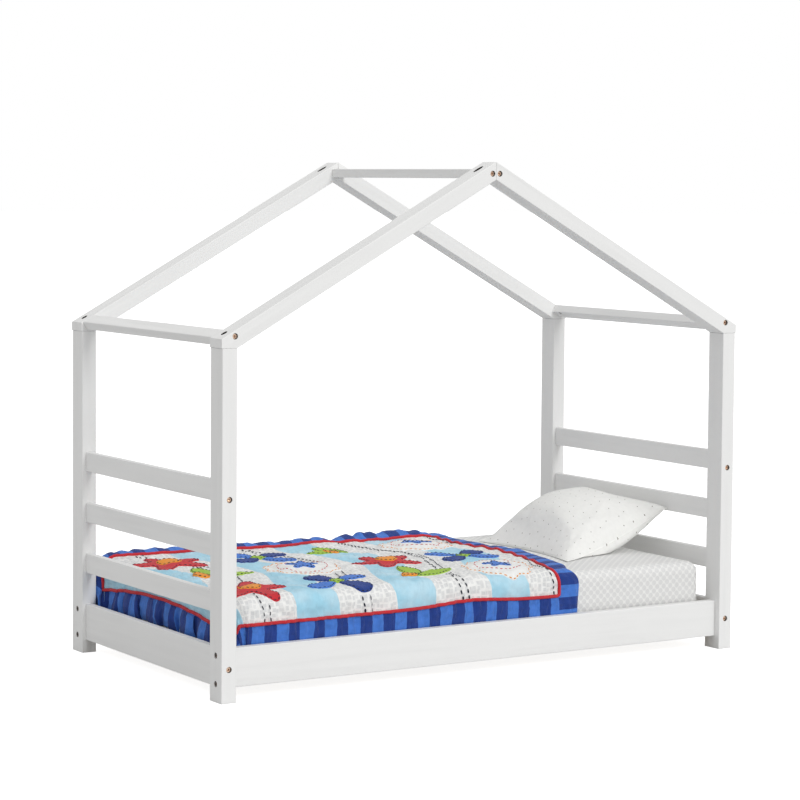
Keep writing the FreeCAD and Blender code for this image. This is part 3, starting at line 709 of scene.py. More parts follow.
@dataclass(frozen=True)
class StripedCotton(Cotton):
    """Cotton with even stripes in two dyes."""

    second: Colour = (0.2, 0.4, 0.8)
    width: float = 0.034
    across: bool = False
    shift: float = 0.25

    def make(self) -> bpy.types.Material:
        """Makes the material."""
        recipe = self.start()
        value = recipe.parts(recipe.coordinates(Follow.CLOTH))[1 if self.across else 0]
        phase = recipe.math("FRACT", recipe.math("MULTIPLY_ADD", value, 0.5 / self.width, self.shift))
        edge = recipe.math("ABSOLUTE", recipe.math("SUBTRACT", phase, 0.5))
        stripes = recipe.mix(recipe.between(edge, 0.245, 0.255), self.colour, self.second)
        return recipe.done(self.uneven(recipe, stripes, 0.8))


@dataclass(frozen=True)
class Waves:
    """The wavy bands of the quilt's middle: each is a pale ground with a blue one beside it."""

    pitch: float = 0.272
    blue_share: float = 0.4
    swing: float = 0.024
    period: float = 0.62
    start: float = 0.03

    def level(self, along: Array, across: Array) -> Array:
        """How many bands lie before a point of the flat quilt."""
        return (along - self.start + self.swing * np.sin(2 * math.pi * across / self.period)) / self.pitch

    def line(self, level: float, across: Array) -> Array:
        """Where a line of one level lies along the flat quilt."""
        return level * self.pitch + self.start - self.swing * np.sin(2 * math.pi * across / self.period)


@dataclass(frozen=True)
class BandedCotton(Cotton):
    """Cotton printed with wavy bands, blue and a pale mottled ground by turns."""

    waves: Waves = Waves()
    ground: Colour = (0.85, 0.85, 0.83)
    mottle: Colour = (0.6, 0.6, 0.6)

    def make(self) -> bpy.types.Material:
        """Makes the material."""
        recipe = self.start()
        flat = recipe.coordinates(Follow.CLOTH)
        along, across = recipe.parts(flat)[:2]
        wave = recipe.math("SINE", recipe.math("MULTIPLY", across, 2 * math.pi / self.waves.period))
        moved = recipe.math("MULTIPLY_ADD", wave, self.waves.swing, along)
        level = recipe.math("MULTIPLY_ADD", moved, 1 / self.waves.pitch, -self.waves.start / self.waves.pitch)
        blue = recipe.math("LESS_THAN", recipe.math("FRACT", level), self.waves.blue_share)
        own = recipe.parts(recipe.cells(flat, 88.0, 0.5, "Color", square=True))[0]
        spots = recipe.math("MULTIPLY", recipe.between(own, 0.0, 0.6, 0.55, 1.0),
                            recipe.between(recipe.cells(flat, 88.0, 0.5, square=True), 0.26, 0.5, 1.0, 0.0))
        pale = recipe.mix(spots, self.ground, self.mottle)
        wash = recipe.noise(flat, 14.0, 3.0)
        lighter = tuple(min(1.0, 1.0 - 0.75 * (1.0 - part)) for part in self.colour)
        washed = recipe.mix(recipe.between(wash, 0.35, 0.7), self.colour, lighter)
        return recipe.done(self.uneven(recipe, recipe.mix(blue, pale, washed), 0.94))


WHITE = paint("EDEDEC")
SKY = paint("A8DCF1")
DYES = {name: paint(code) for name, code in (
    ("red", "D0303A"), ("green", "A4CB45"), ("orange", "F49B33"), ("blue", "4A7FD8"), ("navy", "24418E"),
    ("cream", "F7F7F5"), ("dark", "23283A"))}

PAINTED = {grain: SatinPaint("white_paint_" + grain.name.lower(), WHITE, grain) for grain in Grain}
PINE = {grain: BareTimber("pine_" + grain.name.lower(), paint("E6CFA4"), grain, paint("CFAA72"))
        for grain in (Grain.ALONG, Grain.ACROSS)}
BEECH = BareTimber("beech_dowel", paint("DDBE93"), Grain.ACROSS, paint("C49E6E"))
BRONZE = Metal("bronzed_bolt", paint("C9AE98"), paint("6C4F45"), 0.26)
ZINC = Metal("zinc_plate", paint("BFC0BE"), paint("94968F"), 0.3)
TAPE = Webbing("woven_tape", paint("E4E1D8"))
TICKING = StripedCotton("mattress_ticking", paint("ECEAE2"), second=paint("DDDDD8"), width=0.006)
SHEET_PRINT = HoneycombCotton("sheet_print", paint("F6F6F4"), spot=paint("E4E4E3"), crumple=0.0006)
HEM_CLOTH = Cotton("sheet_hem", paint("EDEDEB"))
PILLOW_PRINT = DottedCotton("pillow_print", paint("F8F8F5"), dot=paint("8D857D"), crumple=0.0008)
QUILT_MIDDLE = BandedCotton("quilt_bands", SKY, creases=(0.0042, 0.3), ground=paint("F9F9F7"),
                            mottle=paint("E0E1E1"))
BORDER_ALONG = StripedCotton("quilt_border_along", DYES["navy"], creases=(0.0048, 0.1),
                             second=DYES["blue"], width=0.0323)
BORDER_ACROSS = StripedCotton("quilt_border_across", DYES["navy"], creases=(0.0048, 1.6),
                              second=DYES["blue"], width=0.03, across=True, shift=0.75)
BACKING = Cotton("quilt_backing", paint("BFDDEE"))
RED_PIPING = Cotton("red_piping", DYES["red"], thread=0.0008, crumple=0.0004)
PATCHES = {name: Cotton("patch_" + name, dye) for name, dye in DYES.items()}
THREADS = {name: Cotton("thread_" + name, DYES[name], thread=0.0005, crumple=0.0002)
           for name in ("dark", "orange", "red")}


# ----------------------------------------------------------------------------------------------
# Frame and fittings
# ----------------------------------------------------------------------------------------------


@dataclass
class HouseFrame:
    """The timber, the slatted base and the fittings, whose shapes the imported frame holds."""

    nodes: dict[str, Piece]
    bores: Bores

    def dress(self) -> None:
        """Gives every node of the frame its finish."""
        rafters = [(SatinPaint("white_paint_drilled_" + end, WHITE, grain, self.bores),
                    "rafter_front_" + end, "rafter_back_" + end)
                   for end, grain in (("foot", Grain.RISING), ("head", Grain.FALLING))]
        for finish, *starts in (
            *rafters,
            (PAINTED[Grain.UPRIGHT], "post_"),
            (PAINTED[Grain.ALONG], "side_rail_"),
            (PAINTED[Grain.ACROSS], "end_rail_", "end_slat_", "eave_bar_", "ridge_bar"),
            (PINE[Grain.ALONG], "ledge_front", "ledge_back"),
            (PINE[Grain.ACROSS], "base_slat_"),
            (TAPE, "slat_tape_"),
            (BRONZE, "bolts_"),
            (ZINC, "barrel_nuts_", "inserts_", "ledge_screws", "slat_screws", "tape_staples"),
            (BEECH, "dowels_"),
        ):
            found = [node for name, node in self.nodes.items() if name.startswith(tuple(starts))]
            for node in found:
                finish.dress(node)
            LOG.info("%s: %d nodes in %s", ", ".join(starts), len(found), finish.name)


# ----------------------------------------------------------------------------------------------
# Mattress and sheet
# ----------------------------------------------------------------------------------------------


@dataclass
class MattressShape:
    """The made-up mattress as a padded block: its box, its rounded edges and its crown."""

    low: Vector
    high: Vector
    radius: float = 0.0245
    crown: float = 0.005
    squareness: float = 12.0

    def ends(self) -> tuple[Array, Array]:
        """The low and the high corner of the box."""
        return np.array(self.low), np.array(self.high)

    def core(self, points: Array) -> Array:
        """The nearest point to each one of the block inside the rounded edges."""
        low, high = self.ends()
        return np.clip(points, low + self.radius, high - self.radius)

    def ring(self, inset: float, count: int) -> tuple[Array, Array, Array]:
        """A level line round the block, with rounded corners.

        Args:
            inset: How far inside the box's sides it runs.
            count: Number of its points.

        Returns:
            Each point's angle, the points halfway up the block, and the directions outwards.
        """
        low, high = self.ends()
        turns = np.linspace(0, 2 * math.pi, count, endpoint=False)
        out = np.stack([np.cos(turns), np.sin(turns), 0 * turns], 1)
        reach = (np.abs(out) ** self.squareness).sum(1) ** (-1 / self.squareness)
        return turns, (low + high) / 2 + ((high - low) / 2 - inset) * reach[:, None] * out, out

    def top(self, x: Array, y: Array) -> Array:
        """Height of the mattress's upper side over a point."""
        middle = (self.low + self.high) / 2
        half = (self.high - self.low) / 2
        along = np.clip(np.abs(x - middle.x) / half.x, 0, 1)
        across = np.clip(np.abs(y - middle.y) / half.y, 0, 1)
        return self.high.z + self.crown * (1 - along ** 4) * (1 - across ** 4)

    def soften(self, points: Array, inset: float) -> Array:
        """Rounds a block's points to this shape.

        Args:
            points: Points on the faces of the mattress's box.
            inset: How far inside the shape the result lies.

        Returns:
            The rounded points.
        """
        low, high = self.ends()
        core = self.core(points)
        away = points - core
        length = np.linalg.norm(away, axis=1)
        length[length == 0] = 1
        found = core + away * ((self.radius - inset) / length)[:, None]
        share = ease(found[:, 2], (low[2] + high[2]) / 2, high[2] - self.radius)
        found[:, 2] += share * (self.top(found[:, 0], found[:, 1]) - high[2])
        return found

    def unfold(self, points: Array, normal: Array) -> Array:
        """Flat cloth coordinates of points on the box's faces, rounded edges included.

        Args:
            points: Points on the faces of the mattress's box.
            normal: The direction that each one's face points in.

        Returns:
            Rows of u and v in metres.
        """
        low, high = self.ends()
        core = self.core(points)
        flat = core + self.radius * np.arctan2(points - core, self.radius)
        down = high[2] - self.radius - flat[:, 2] + self.radius * math.pi / 2
        u, v = flat[:, 0].copy(), flat[:, 1].copy()
        for axis, target in ((0, u), (1, v)):
            for sign in (-1, 1):
                face = normal[:, axis] * sign > 0.5
                edge = (high if sign > 0 else low)[axis] - sign * self.radius
                target[face] = edge + sign * down[face]
        return np.stack([u, v], 1)

    def block(self, name: str, cuts: tuple[int, int, int]) -> Piece:
        """A block on the mattress's box, with its faces divided evenly.

        Args:
            name: The piece's name.
            cuts: How many cells lie along X, Y and Z.

        Returns:
            The block, with its points still on the box.
        """
        deselect()
        size = self.high - self.low
        bpy.ops.mesh.primitive_cube_add(size=1, location=(self.low + self.high) / 2, scale=size)
        piece = bpy.context.object
        piece.name = name
        settle(piece)
        bpy.ops.object.mode_set(mode="EDIT")
        for axis, count in enumerate(cuts):
            slice_up(axis, [self.low[axis] + size[axis] * step / count for step in range(1, count)])
        bpy.ops.object.mode_set(mode="OBJECT")
        piece.data.shade_smooth()
        return piece


@dataclass
class Mattress:
    """The foam block in its ticking, with a piped seam round its upper and lower rims."""

    shape: MattressShape
    inset: float = 0.0016
    piping: float = 0.0028
    seam_inset: float = 0.32
    seam_drop: float = 0.5

    def build(self) -> list[Piece]:
        """Makes the block and its piping; the seam's places are shares of the edge's radius."""
        shape = self.shape
        low, high = shape.ends()
        pad = shape.block("mattress_pad", (60, 32, 8))
        points = points_of(pad)
        normal = np.sign(points - np.array((shape.low + shape.high) / 2))
        move_points(pad, shape.soften(points, self.inset))
        made = [TICKING.dress(pad, points[:, :2] + points[:, 2:] * normal[:, :2])]
        drop = shape.radius * self.seam_drop
        for name, level in (("lower", low[2] + drop), ("upper", high[2] - drop)):
            _, line, out = shape.ring(shape.radius * self.seam_inset, 240)
            line[:, 2] = level
            cord = cord_along("mattress_piping_" + name, line, out, self.piping)
            made.append(HEM_CLOTH.dress(cord, points_of(cord)[:, :2]))
        hand_over(made, "mattress", "mattress_core")
        return made


@dataclass
class FittedSheet:
    """The printed sheet: pulled over the mattress, sewn at its corners, gathered under it."""

    shape: MattressShape
    hem: float = 0.09
    thickness: float = 0.0009
    wrinkle: float = 0.0011
    gather: float = 0.0022
    casing: float = 0.0035
    casing_lift: float = 0.005
    casing_ripple: float = 0.0012
    seam: float = 0.0011

    def wrinkles(self, points: Array) -> Array:
        """How far the cloth stands off the padding: tight folds that run from the corners."""
        low, high = self.shape.ends()
        near = np.minimum(points[:, 0] - low[0], high[0] - points[:, 0])
        side = np.minimum(points[:, 1] - low[1], high[1] - points[:, 1])
        away = np.hypot(near, side)
        turn = np.arctan2(near, side)
        folds = np.sin(13 * turn + 18 * away) * np.exp(-away / 0.09) * ease(away, 0.0, 0.05)
        drop = high[2] - points[:, 2]
        run = points[:, 0] + points[:, 1]
        soft = 0.35 * np.sin(31 * run + 2 * np.sin(9 * points[:, 0])) * ease(drop, 0.02, 0.1)
        broad = 0.5 * np.sin(17 * points[:, 0] + 3 * np.sin(8 * points[:, 1])) * np.sin(11 * points[:, 1])
        return self.wrinkle * (1.3 * folds + soft + broad)

    def build(self) -> list[Piece]:
        """Makes the sheet, its seams and the elastic in its hem."""
        shape = self.shape
        low, high = shape.ends()
        cloth = self.open_block(low + self.hem, high - self.hem)
        mesh = cloth.data
        points = points_of(cloth)
        corner = np.zeros(len(mesh.loops), int)
        mesh.loops.foreach_get("vertex_index", corner)
        normal = np.array([tuple(p.normal) for p in mesh.polygons for _ in p.loop_indices])
        set_uv(cloth, shape.unfold(points[corner], normal))
        soft = shape.soften(points, 0.0)
        out = soft - shape.core(soft)
        out /= np.maximum(np.linalg.norm(out, axis=1), 1e-9)[:, None]
        soft += out * self.wrinkles(points)[:, None] * (out[:, 2] > -0.2)[:, None]
        soft[:, 2] += self.hem_lift(points)
        move_points(cloth, soft)
        wall = cloth.modifiers.new("wall", "SOLIDIFY")
        wall.thickness = self.thickness
        wall.offset = -1
        apply_modifiers(cloth)
        SHEET_PRINT.dress(cloth)
        sewn = [self.elastic(), *self.seams()]
        hand_over([cloth, *sewn], "mattress", "fitted_sheet")
        return [cloth, *sewn]

    def open_block(self, low: Array, high: Array) -> Piece:
        """The block of cloth, open underneath between two corners."""
        cloth = self.shape.block("sheet_cloth", (148, 78, 16))
        activate(cloth)
        for polygon in cloth.data.polygons:
            middle = polygon.center
            inside = low[0] < middle.x < high[0] and low[1] < middle.y < high[1]
            polygon.select = bool(polygon.normal.z < -0.5 and inside)
        bpy.ops.object.mode_set(mode="EDIT")
        bpy.ops.mesh.select_mode(type="FACE")
        bpy.ops.mesh.delete(type="FACE")
        bpy.ops.object.mode_set(mode="OBJECT")
        return cloth

    def hem_lift(self, points: Array) -> Array:
        """Gathers of the part that is turned in under the mattress."""
        low, high = self.shape.ends()
        inner = np.minimum(np.minimum(points[:, 0] - low[0], high[0] - points[:, 0]),
                           np.minimum(points[:, 1] - low[1], high[1] - points[:, 1]))
        under = (points[:, 2] < low[2] + 1e-6) * ease(inner, 0.03, self.hem)
        return self.gather * under * (1 + np.sin(300 * points[:, 0]) * np.sin(300 * points[:, 1]) * 0.5)

    def elastic(self) -> Piece:
        """The narrow casing with the elastic, round the opening under the mattress."""
        turns, line, _ = self.shape.ring(self.hem, 360)
        line[:, 2] = self.shape.low.z + self.casing_lift + self.casing_ripple * np.sin(60 * turns)
        up = np.tile([0.0, 0.0, 1.0], (len(turns), 1))
        casing = cord_along("sheet_elastic", line, up, self.casing)
        return HEM_CLOTH.dress(casing, points_of(casing)[:, :2])

    def seams(self) -> list[Piece]:
        """The sewn seam down each corner of the sheet."""
        low, high = self.shape.ends()
        made = []
        for x in (low[0], high[0]):
            for y in (low[1], high[1]):
                drop = np.linspace(0.006, high[2] - low[2] - 0.012, 40)
                block = np.stack([0 * drop + x, 0 * drop + y, high[2] - drop], 1)
                line = self.shape.soften(block, 0.0)
                out = (line - (low + high) / 2) * [1, 1, 0]
                out /= np.linalg.norm(out, axis=1)[:, None]
                line += out * (0.0004 + 0.0007 * np.sin(drop * 210))[:, None]
                end = ("foot" if x < 0 else "head") + "_" + ("front" if y < 0 else "back")
                seam = cord_along("sheet_seam_" + end, line, out, self.seam, sides=6, closed=False)
                made.append(HEM_CLOTH.dress(seam, points_of(seam)[:, 1:]))
        return made


# ----------------------------------------------------------------------------------------------
# Quilt
# ----------------------------------------------------------------------------------------------


@dataclass(frozen=True)
class Ripple:
    """A wave along a line whose phase wanders, so that no two of its crests are alike."""

    height: float
    pitch: float
    wander: float
    wander_pitch: float

    def at(self, value: Array) -> Array:
        """The wave's height at places along the line."""
        drift = self.wander * np.sin(2 * math.pi * value / self.wander_pitch)
        return self.height * np.sin(2 * math.pi * value / self.pitch + drift)


@dataclass
class QuiltDrape:
    """Where each point of the flat quilt comes to lie: along runs from its foot hem to its head edge,
    across from its front hem to its back one, and rise is the height over the mattress."""

    bed: MattressShape
    length: float = 1.092
    width: float = 0.838
    front_hem: float = 0.104
    foot_hem: float = 0.111
    foot_sag: float = 0.022
    half_loft: float = 0.005
    back_bend: float = 0.16
    fold_count: int = 9
    fold_depth: float = 0.0135
    sway: float = 0.0105
    rail: float = 0.122
    head_middle: float = 0.302
    head_skew: float = 0.045
    head_bulge: float = 0.033
    front_slack: float = 0.0033
    front_dip: float = 0.0095
    foot_width: float = 1.028
    drawn_in: float = 0.091
    back_ruffles: tuple[Ripple, ...] = (Ripple(0.14, 0.105, 1.9, 0.41), Ripple(0.08, 0.041, 1.5, 0.17))
    head_curl: Ripple = Ripple(0.5, 0.128, 2.2, 0.5)
    head_pucker: Ripple = Ripple(0.0022, 0.061, 2.0, 2 * math.pi / 9)

    def __post_init__(self) -> None:
        """Works out where the quilt bends over the mattress's rims."""
        self.inner_low = np.array(self.bed.low) + self.bed.radius
        self.inner_high = np.array(self.bed.high) - self.bed.radius
        self.bend = self.bed.radius + self.half_loft
        self.quarter = self.bend * math.pi / 2
        self.front_fold = self.inner_high[2] - self.front_hem + self.quarter

    def head_edge(self, y: Array) -> Array:
        """Where the quilt's head edge lies, with its soft bulge towards the head."""
        return self.head_middle + self.head_skew * y + self.head_bulge * bump_at(y, -0.06, 0.16)

    def lift(self, along: Array, across: Array) -> Array:
        """How far the quilt stands off what it lies on, in ruffles along its back and head edges."""
        hem = self.width - across
        headward = ease(along, 0.72, 0.85)
        wave = 0.84 + sum(ripple.at(along) for ripple in self.back_ruffles) * (0.45 + 0.75 * headward)
        back = np.exp(-((hem - 0.03 + 0.016 * headward) / 0.046) ** 2)
        ridge = (0.0175 + 0.003 * bump_at(along, 0.16, 0.06) - 0.011 * bump_at(along, 0.75, 0.035)
                 + 0.003 * bump_at(along, 0.9, 0.13))
        ridge = ridge * (1 - 0.8 * ease(along, 1.0, 1.09)) * ease(along, 0.05, 0.13)
        fold = bump_at(along, self.length - 0.02, 0.03) * 0.003 * (0.5 + self.head_curl.at(across))
        pucker = bump_at(along, self.length - 0.062, 0.016) * self.head_pucker.at(across)
        head = (fold + pucker) * ease(across, 0.16, 0.26)
        swell = np.sin(2 * math.pi * along / 0.31 + 4 * across) * np.sin(2 * math.pi * across / 0.27)
        top = ease(across, self.front_fold - 0.03, self.front_fold + 0.05) * ease(along, 0.1, 0.2)
        return back * ridge * wave + head + 0.0018 * (swell + 1) * top

    def place(self, along: Array, across: Array, rise: Array, over: Array | float = 0.0) -> Array:
        """Lays points of the flat quilt on the bed.

        Args:
            along: Metres from the foot hem.
            across: Metres from the front hem.
            rise: Height over the mattress or, on the hanging parts, distance outwards from it.
            over: Height over the cloth of what is sewn on it.

        Returns:
            Rows of x, y and z.
        """
        front_fold = self.front_fold + self.front_slack - self.front_dip * bump_at(along, 0.765, 0.11)
        kept = self.foot_width - self.drawn_in * ease(along, 0.1, 0.6)
        flat_y = self.inner_low[1] + np.maximum(0, across - front_fold) * kept
        y = np.minimum(flat_y, self.inner_high[1])
        sag = self.foot_sag * np.minimum(((y - 0.033) / 0.3) ** 2, 1.1)
        foot_fold = self.inner_high[2] - self.foot_hem + sag + self.quarter
        past_foot = np.maximum(0, foot_fold - along)
        past_front = np.maximum(0, front_fold - across)
        past_back = flat_y - y
        side = np.where(past_front > 0, -1.0, 1.0)
        past_side = np.maximum(past_front, past_back)
        past = (past_foot ** 6 + past_side ** 6) ** (1 / 6)
        turn = np.arctan2(past_side, past_foot)
        wider = (self.back_bend - self.bend) * np.sin(turn) ** 2 * (past_back > 0)
        lean = np.minimum(past / (self.bend + wider), math.pi / 2)
        drop = np.maximum(0, past - (self.bend + wider) * math.pi / 2)
        stretch = (self.head_edge(y) - self.inner_low[0]) / (self.length - foot_fold)
        x = self.inner_low[0] + np.maximum(0, along - foot_fold) * stretch
        at_front = past_front > past_foot
        gather = self.gathers(along, across)
        rise = rise + 0.0038 * gather * ease(past_front, 0.01, 0.04) * at_front
        rise = np.minimum(rise, self.room(drop, at_front)) + over
        rise = rise + self.lift(along, across) + self.folds(turn, across, drop, past_foot)
        core = self.bed.radius + wider
        z = self.bed.top(x, y) - core + (core + rise) * np.cos(lean) - drop
        out = (core + rise) * np.sin(lean)
        phase = 2 * math.pi * self.fold_count * across / self.width
        sway = (np.sin(phase + 26 * drop) + 0.5 * np.sin(2.3 * phase + 1)) * self.sway
        sway = sway * ease(drop, -0.01, 0.06)
        y = y + side * np.sin(turn) * out + sway * (past_foot > past_side) * (1 - ease(turn, 0.2, 0.9))
        x = x + 0.0036 * self.gathers(along, across + 0.02) * at_front * ease(past_front, 0.03, 0.06)
        x = x - 0.015 * bump_at(across, front_fold, 0.03) * ease(along, self.length - 0.12, self.length)
        return np.stack([x - np.cos(turn) * out, y, z], -1)

    def gathers(self, along: Array, across: Array) -> Array:
        """Fine creases that run down from the front piping, stronger at some places than at others."""
        often = 0.5 + 0.5 * np.sin(7.3 * along + 2.1 * np.sin(11 * along))
        fine = np.sin(2 * math.pi * along / 0.023 + 1.7 * np.sin(31 * along) + 24 * across)
        broad = np.sin(2 * math.pi * along / 0.061 + 2.2 * np.sin(9 * along) - 15 * across)
        return often * (0.55 * fine + 0.45 * broad)

    def room(self, drop: Array, at_front: Array) -> Array:
        """How far out the quilt may reach: it is squeezed between the mattress and the front rail."""
        behind = self.inner_high[2] - self.rail - 0.008
        squeezed = 0.0102 + 0.006 * (1 - ease(drop, behind - 0.03, behind))
        return np.where(at_front, squeezed, 0.04)

    def folds(self, turn: Array, across: Array, drop: Array, past_foot: Array) -> Array:
        """Gathers of the part that hangs at the foot, deepest at its hem."""
        phase = 2 * math.pi * self.fold_count * across / self.width + 0.9 * np.sin(17 * across)
        depth = self.fold_depth * (0.5 - 0.5 * np.cos(phase)) * ease(drop, -0.01, 0.085)
        depth = depth + 0.0015 * np.sin(2.7 * phase) * ease(drop, 0.0, 0.05)
        corner = 0.004 * np.sin(9 * turn) * ease(drop, 0.0, 0.05)
        return depth * (1 - ease(turn, 0.25, 1.1)) * (past_foot > 0) + corner * (turn > 0.1) * (turn < 1.45)


def spaced(points: Array, spacing: float, closed: bool = True) -> Array:
    """Spaces a line's points evenly.

    Args:
        points: The line's own points.
        spacing: Distance between points of the result.
        closed: Whether the line joins up with its start.

    Returns:
        The spaced points.
    """
    ring = np.vstack([points, points[:1]]) if closed else points
    walked = np.concatenate([[0], np.cumsum(np.linalg.norm(np.diff(ring, axis=0), axis=1))])
    stops = np.linspace(0, walked[-1], max(2, round(walked[-1] / spacing)) + 1)
    stops = stops[:-1] if closed else stops
    return np.stack([np.interp(stops, walked, ring[:, k]) for k in (0, 1)], 1)


def away_from(points: Array, line: Array) -> Array:
    """The distance from each point to a closed line's nearest stretch."""
    start, run = line[None], (np.roll(line, -1, 0) - line)[None]
    share = np.clip(((points[:, None] - start) * run).sum(2) / (run ** 2).sum(2), 0, 1)
    return np.linalg.norm(points[:, None] - start - run * share[..., None], axis=2).min(1)


def within(points: Array, line: Array) -> Array:
    """Whether each point lies inside a closed line."""
    start, end = line[None], np.roll(line, -1, 0)[None]
    x, y = points[:, :1], points[:, 1:]
    spans = (start[..., 1] > y) != (end[..., 1] > y)
    rise = np.where(spans, end[..., 1] - start[..., 1], 1.0)
    reach = start[..., 0] + (y - start[..., 1]) * (end[..., 0] - start[..., 0]) / rise
    return (spans & (x < reach)).sum(1) % 2 == 1


class Shape(Enum):
    """Outlines of the patches."""

    STAR = "star"
    DISC = "disc"
    LEAF = "leaf"
    BLADE = "blade"
    SCALLOP = "scallop"


@dataclass(frozen=True)
class Patch:
    """One piece of cloth sewn on the quilt: its outline, place, size, turn and cloth."""

    shape: Shape
    along: float
    across: float
    size: float
    turn: float
    cloth: str
    layer: int = 0
    thread: str = "dark"

    def outline(self, inset: float = 0.0, spacing: float = 0.0045) -> Array:
        """The patch's edge on the flat quilt.

        Args:
            inset: How far inside the edge the line runs.
            spacing: Distance between its points.

        Returns:
            Rows of along and across, anticlockwise.
        """
        turns = np.linspace(0, 2 * math.pi, 361)[:-1]
        if self.shape is Shape.LEAF:
            points = np.stack([np.cos(turns), 0.42 * np.sin(turns) * np.abs(np.sin(turns)) ** 0.6], 1)
        elif self.shape is Shape.BLADE:
            reach = 0.5 + 0.5 * np.cos(turns)
            points = np.stack([reach, 0.42 * np.sin(turns) * (0.25 + 0.75 * reach)], 1)
        else:
            radius = {Shape.STAR: 0.5 + 0.5 * (0.5 + 0.5 * np.cos(5 * turns)) ** 1.2,
                      Shape.SCALLOP: 1 + 0.055 * np.cos(10 * turns)}.get(self.shape, 1 + 0 * turns)
            points = np.stack([radius * np.cos(turns), radius * np.sin(turns)], 1)
        points = spaced(self.size * points, spacing)
        if inset:
            ahead = np.roll(points, -2, 0) - np.roll(points, 2, 0)
            ahead /= np.maximum(np.linalg.norm(ahead, axis=1), 1e-9)[:, None]
            points = points + inset * np.stack([-ahead[:, 1], ahead[:, 0]], 1)
        cosine, sine = math.cos(self.turn), math.sin(self.turn)
        turned = points @ np.array([[cosine, sine], [-sine, cosine]])
        return turned + [self.along, self.across]


def motifs() -> list[Patch]:
    """The quilt's patches: stars, pinwheels, leaves and scalloped rounds in a regular layout."""
    found = []
    columns = (0.205, 0.44, 0.675, 0.90)
    rows = (0.205, 0.42, 0.64)
    for c, along in enumerate(columns):
        for r, across in enumerate(rows):
            kind = (c + 2 * r) % 4
            turn = 0.5 * c + 0.8 * r
            if kind == 0:
                found.append(Patch(Shape.STAR, along, across, 0.098, turn, "red"))
                found.append(Patch(Shape.DISC, along, across, 0.03, 0, "orange", 1))
            elif kind == 1:
                for k in range(4):
                    angle = turn + k * math.pi / 2
                    cloth = "navy" if k % 2 else "blue"
                    found.append(Patch(Shape.BLADE, along, across, 0.1, angle, cloth))
                found.append(Patch(Shape.DISC, along, across, 0.02, 0, "green", 1))
            elif kind == 2:
                for side in (-1, 1):
                    angle = 0.7 * side + turn
                    place = (along + 0.045 * math.cos(angle),
                             across + 0.045 * math.sin(angle) + 0.012 * side)
                    found.append(Patch(Shape.LEAF, *place, 0.062, angle, "green"))
                found.append(Patch(Shape.DISC, along - 0.03, across, 0.022, 0, "orange", 1))
            else:
                found.append(Patch(Shape.SCALLOP, along, across, 0.092, turn, "cream", 0, "orange"))
                found.append(Patch(Shape.STAR, along, across, 0.042, turn, "blue", 1))
    return found


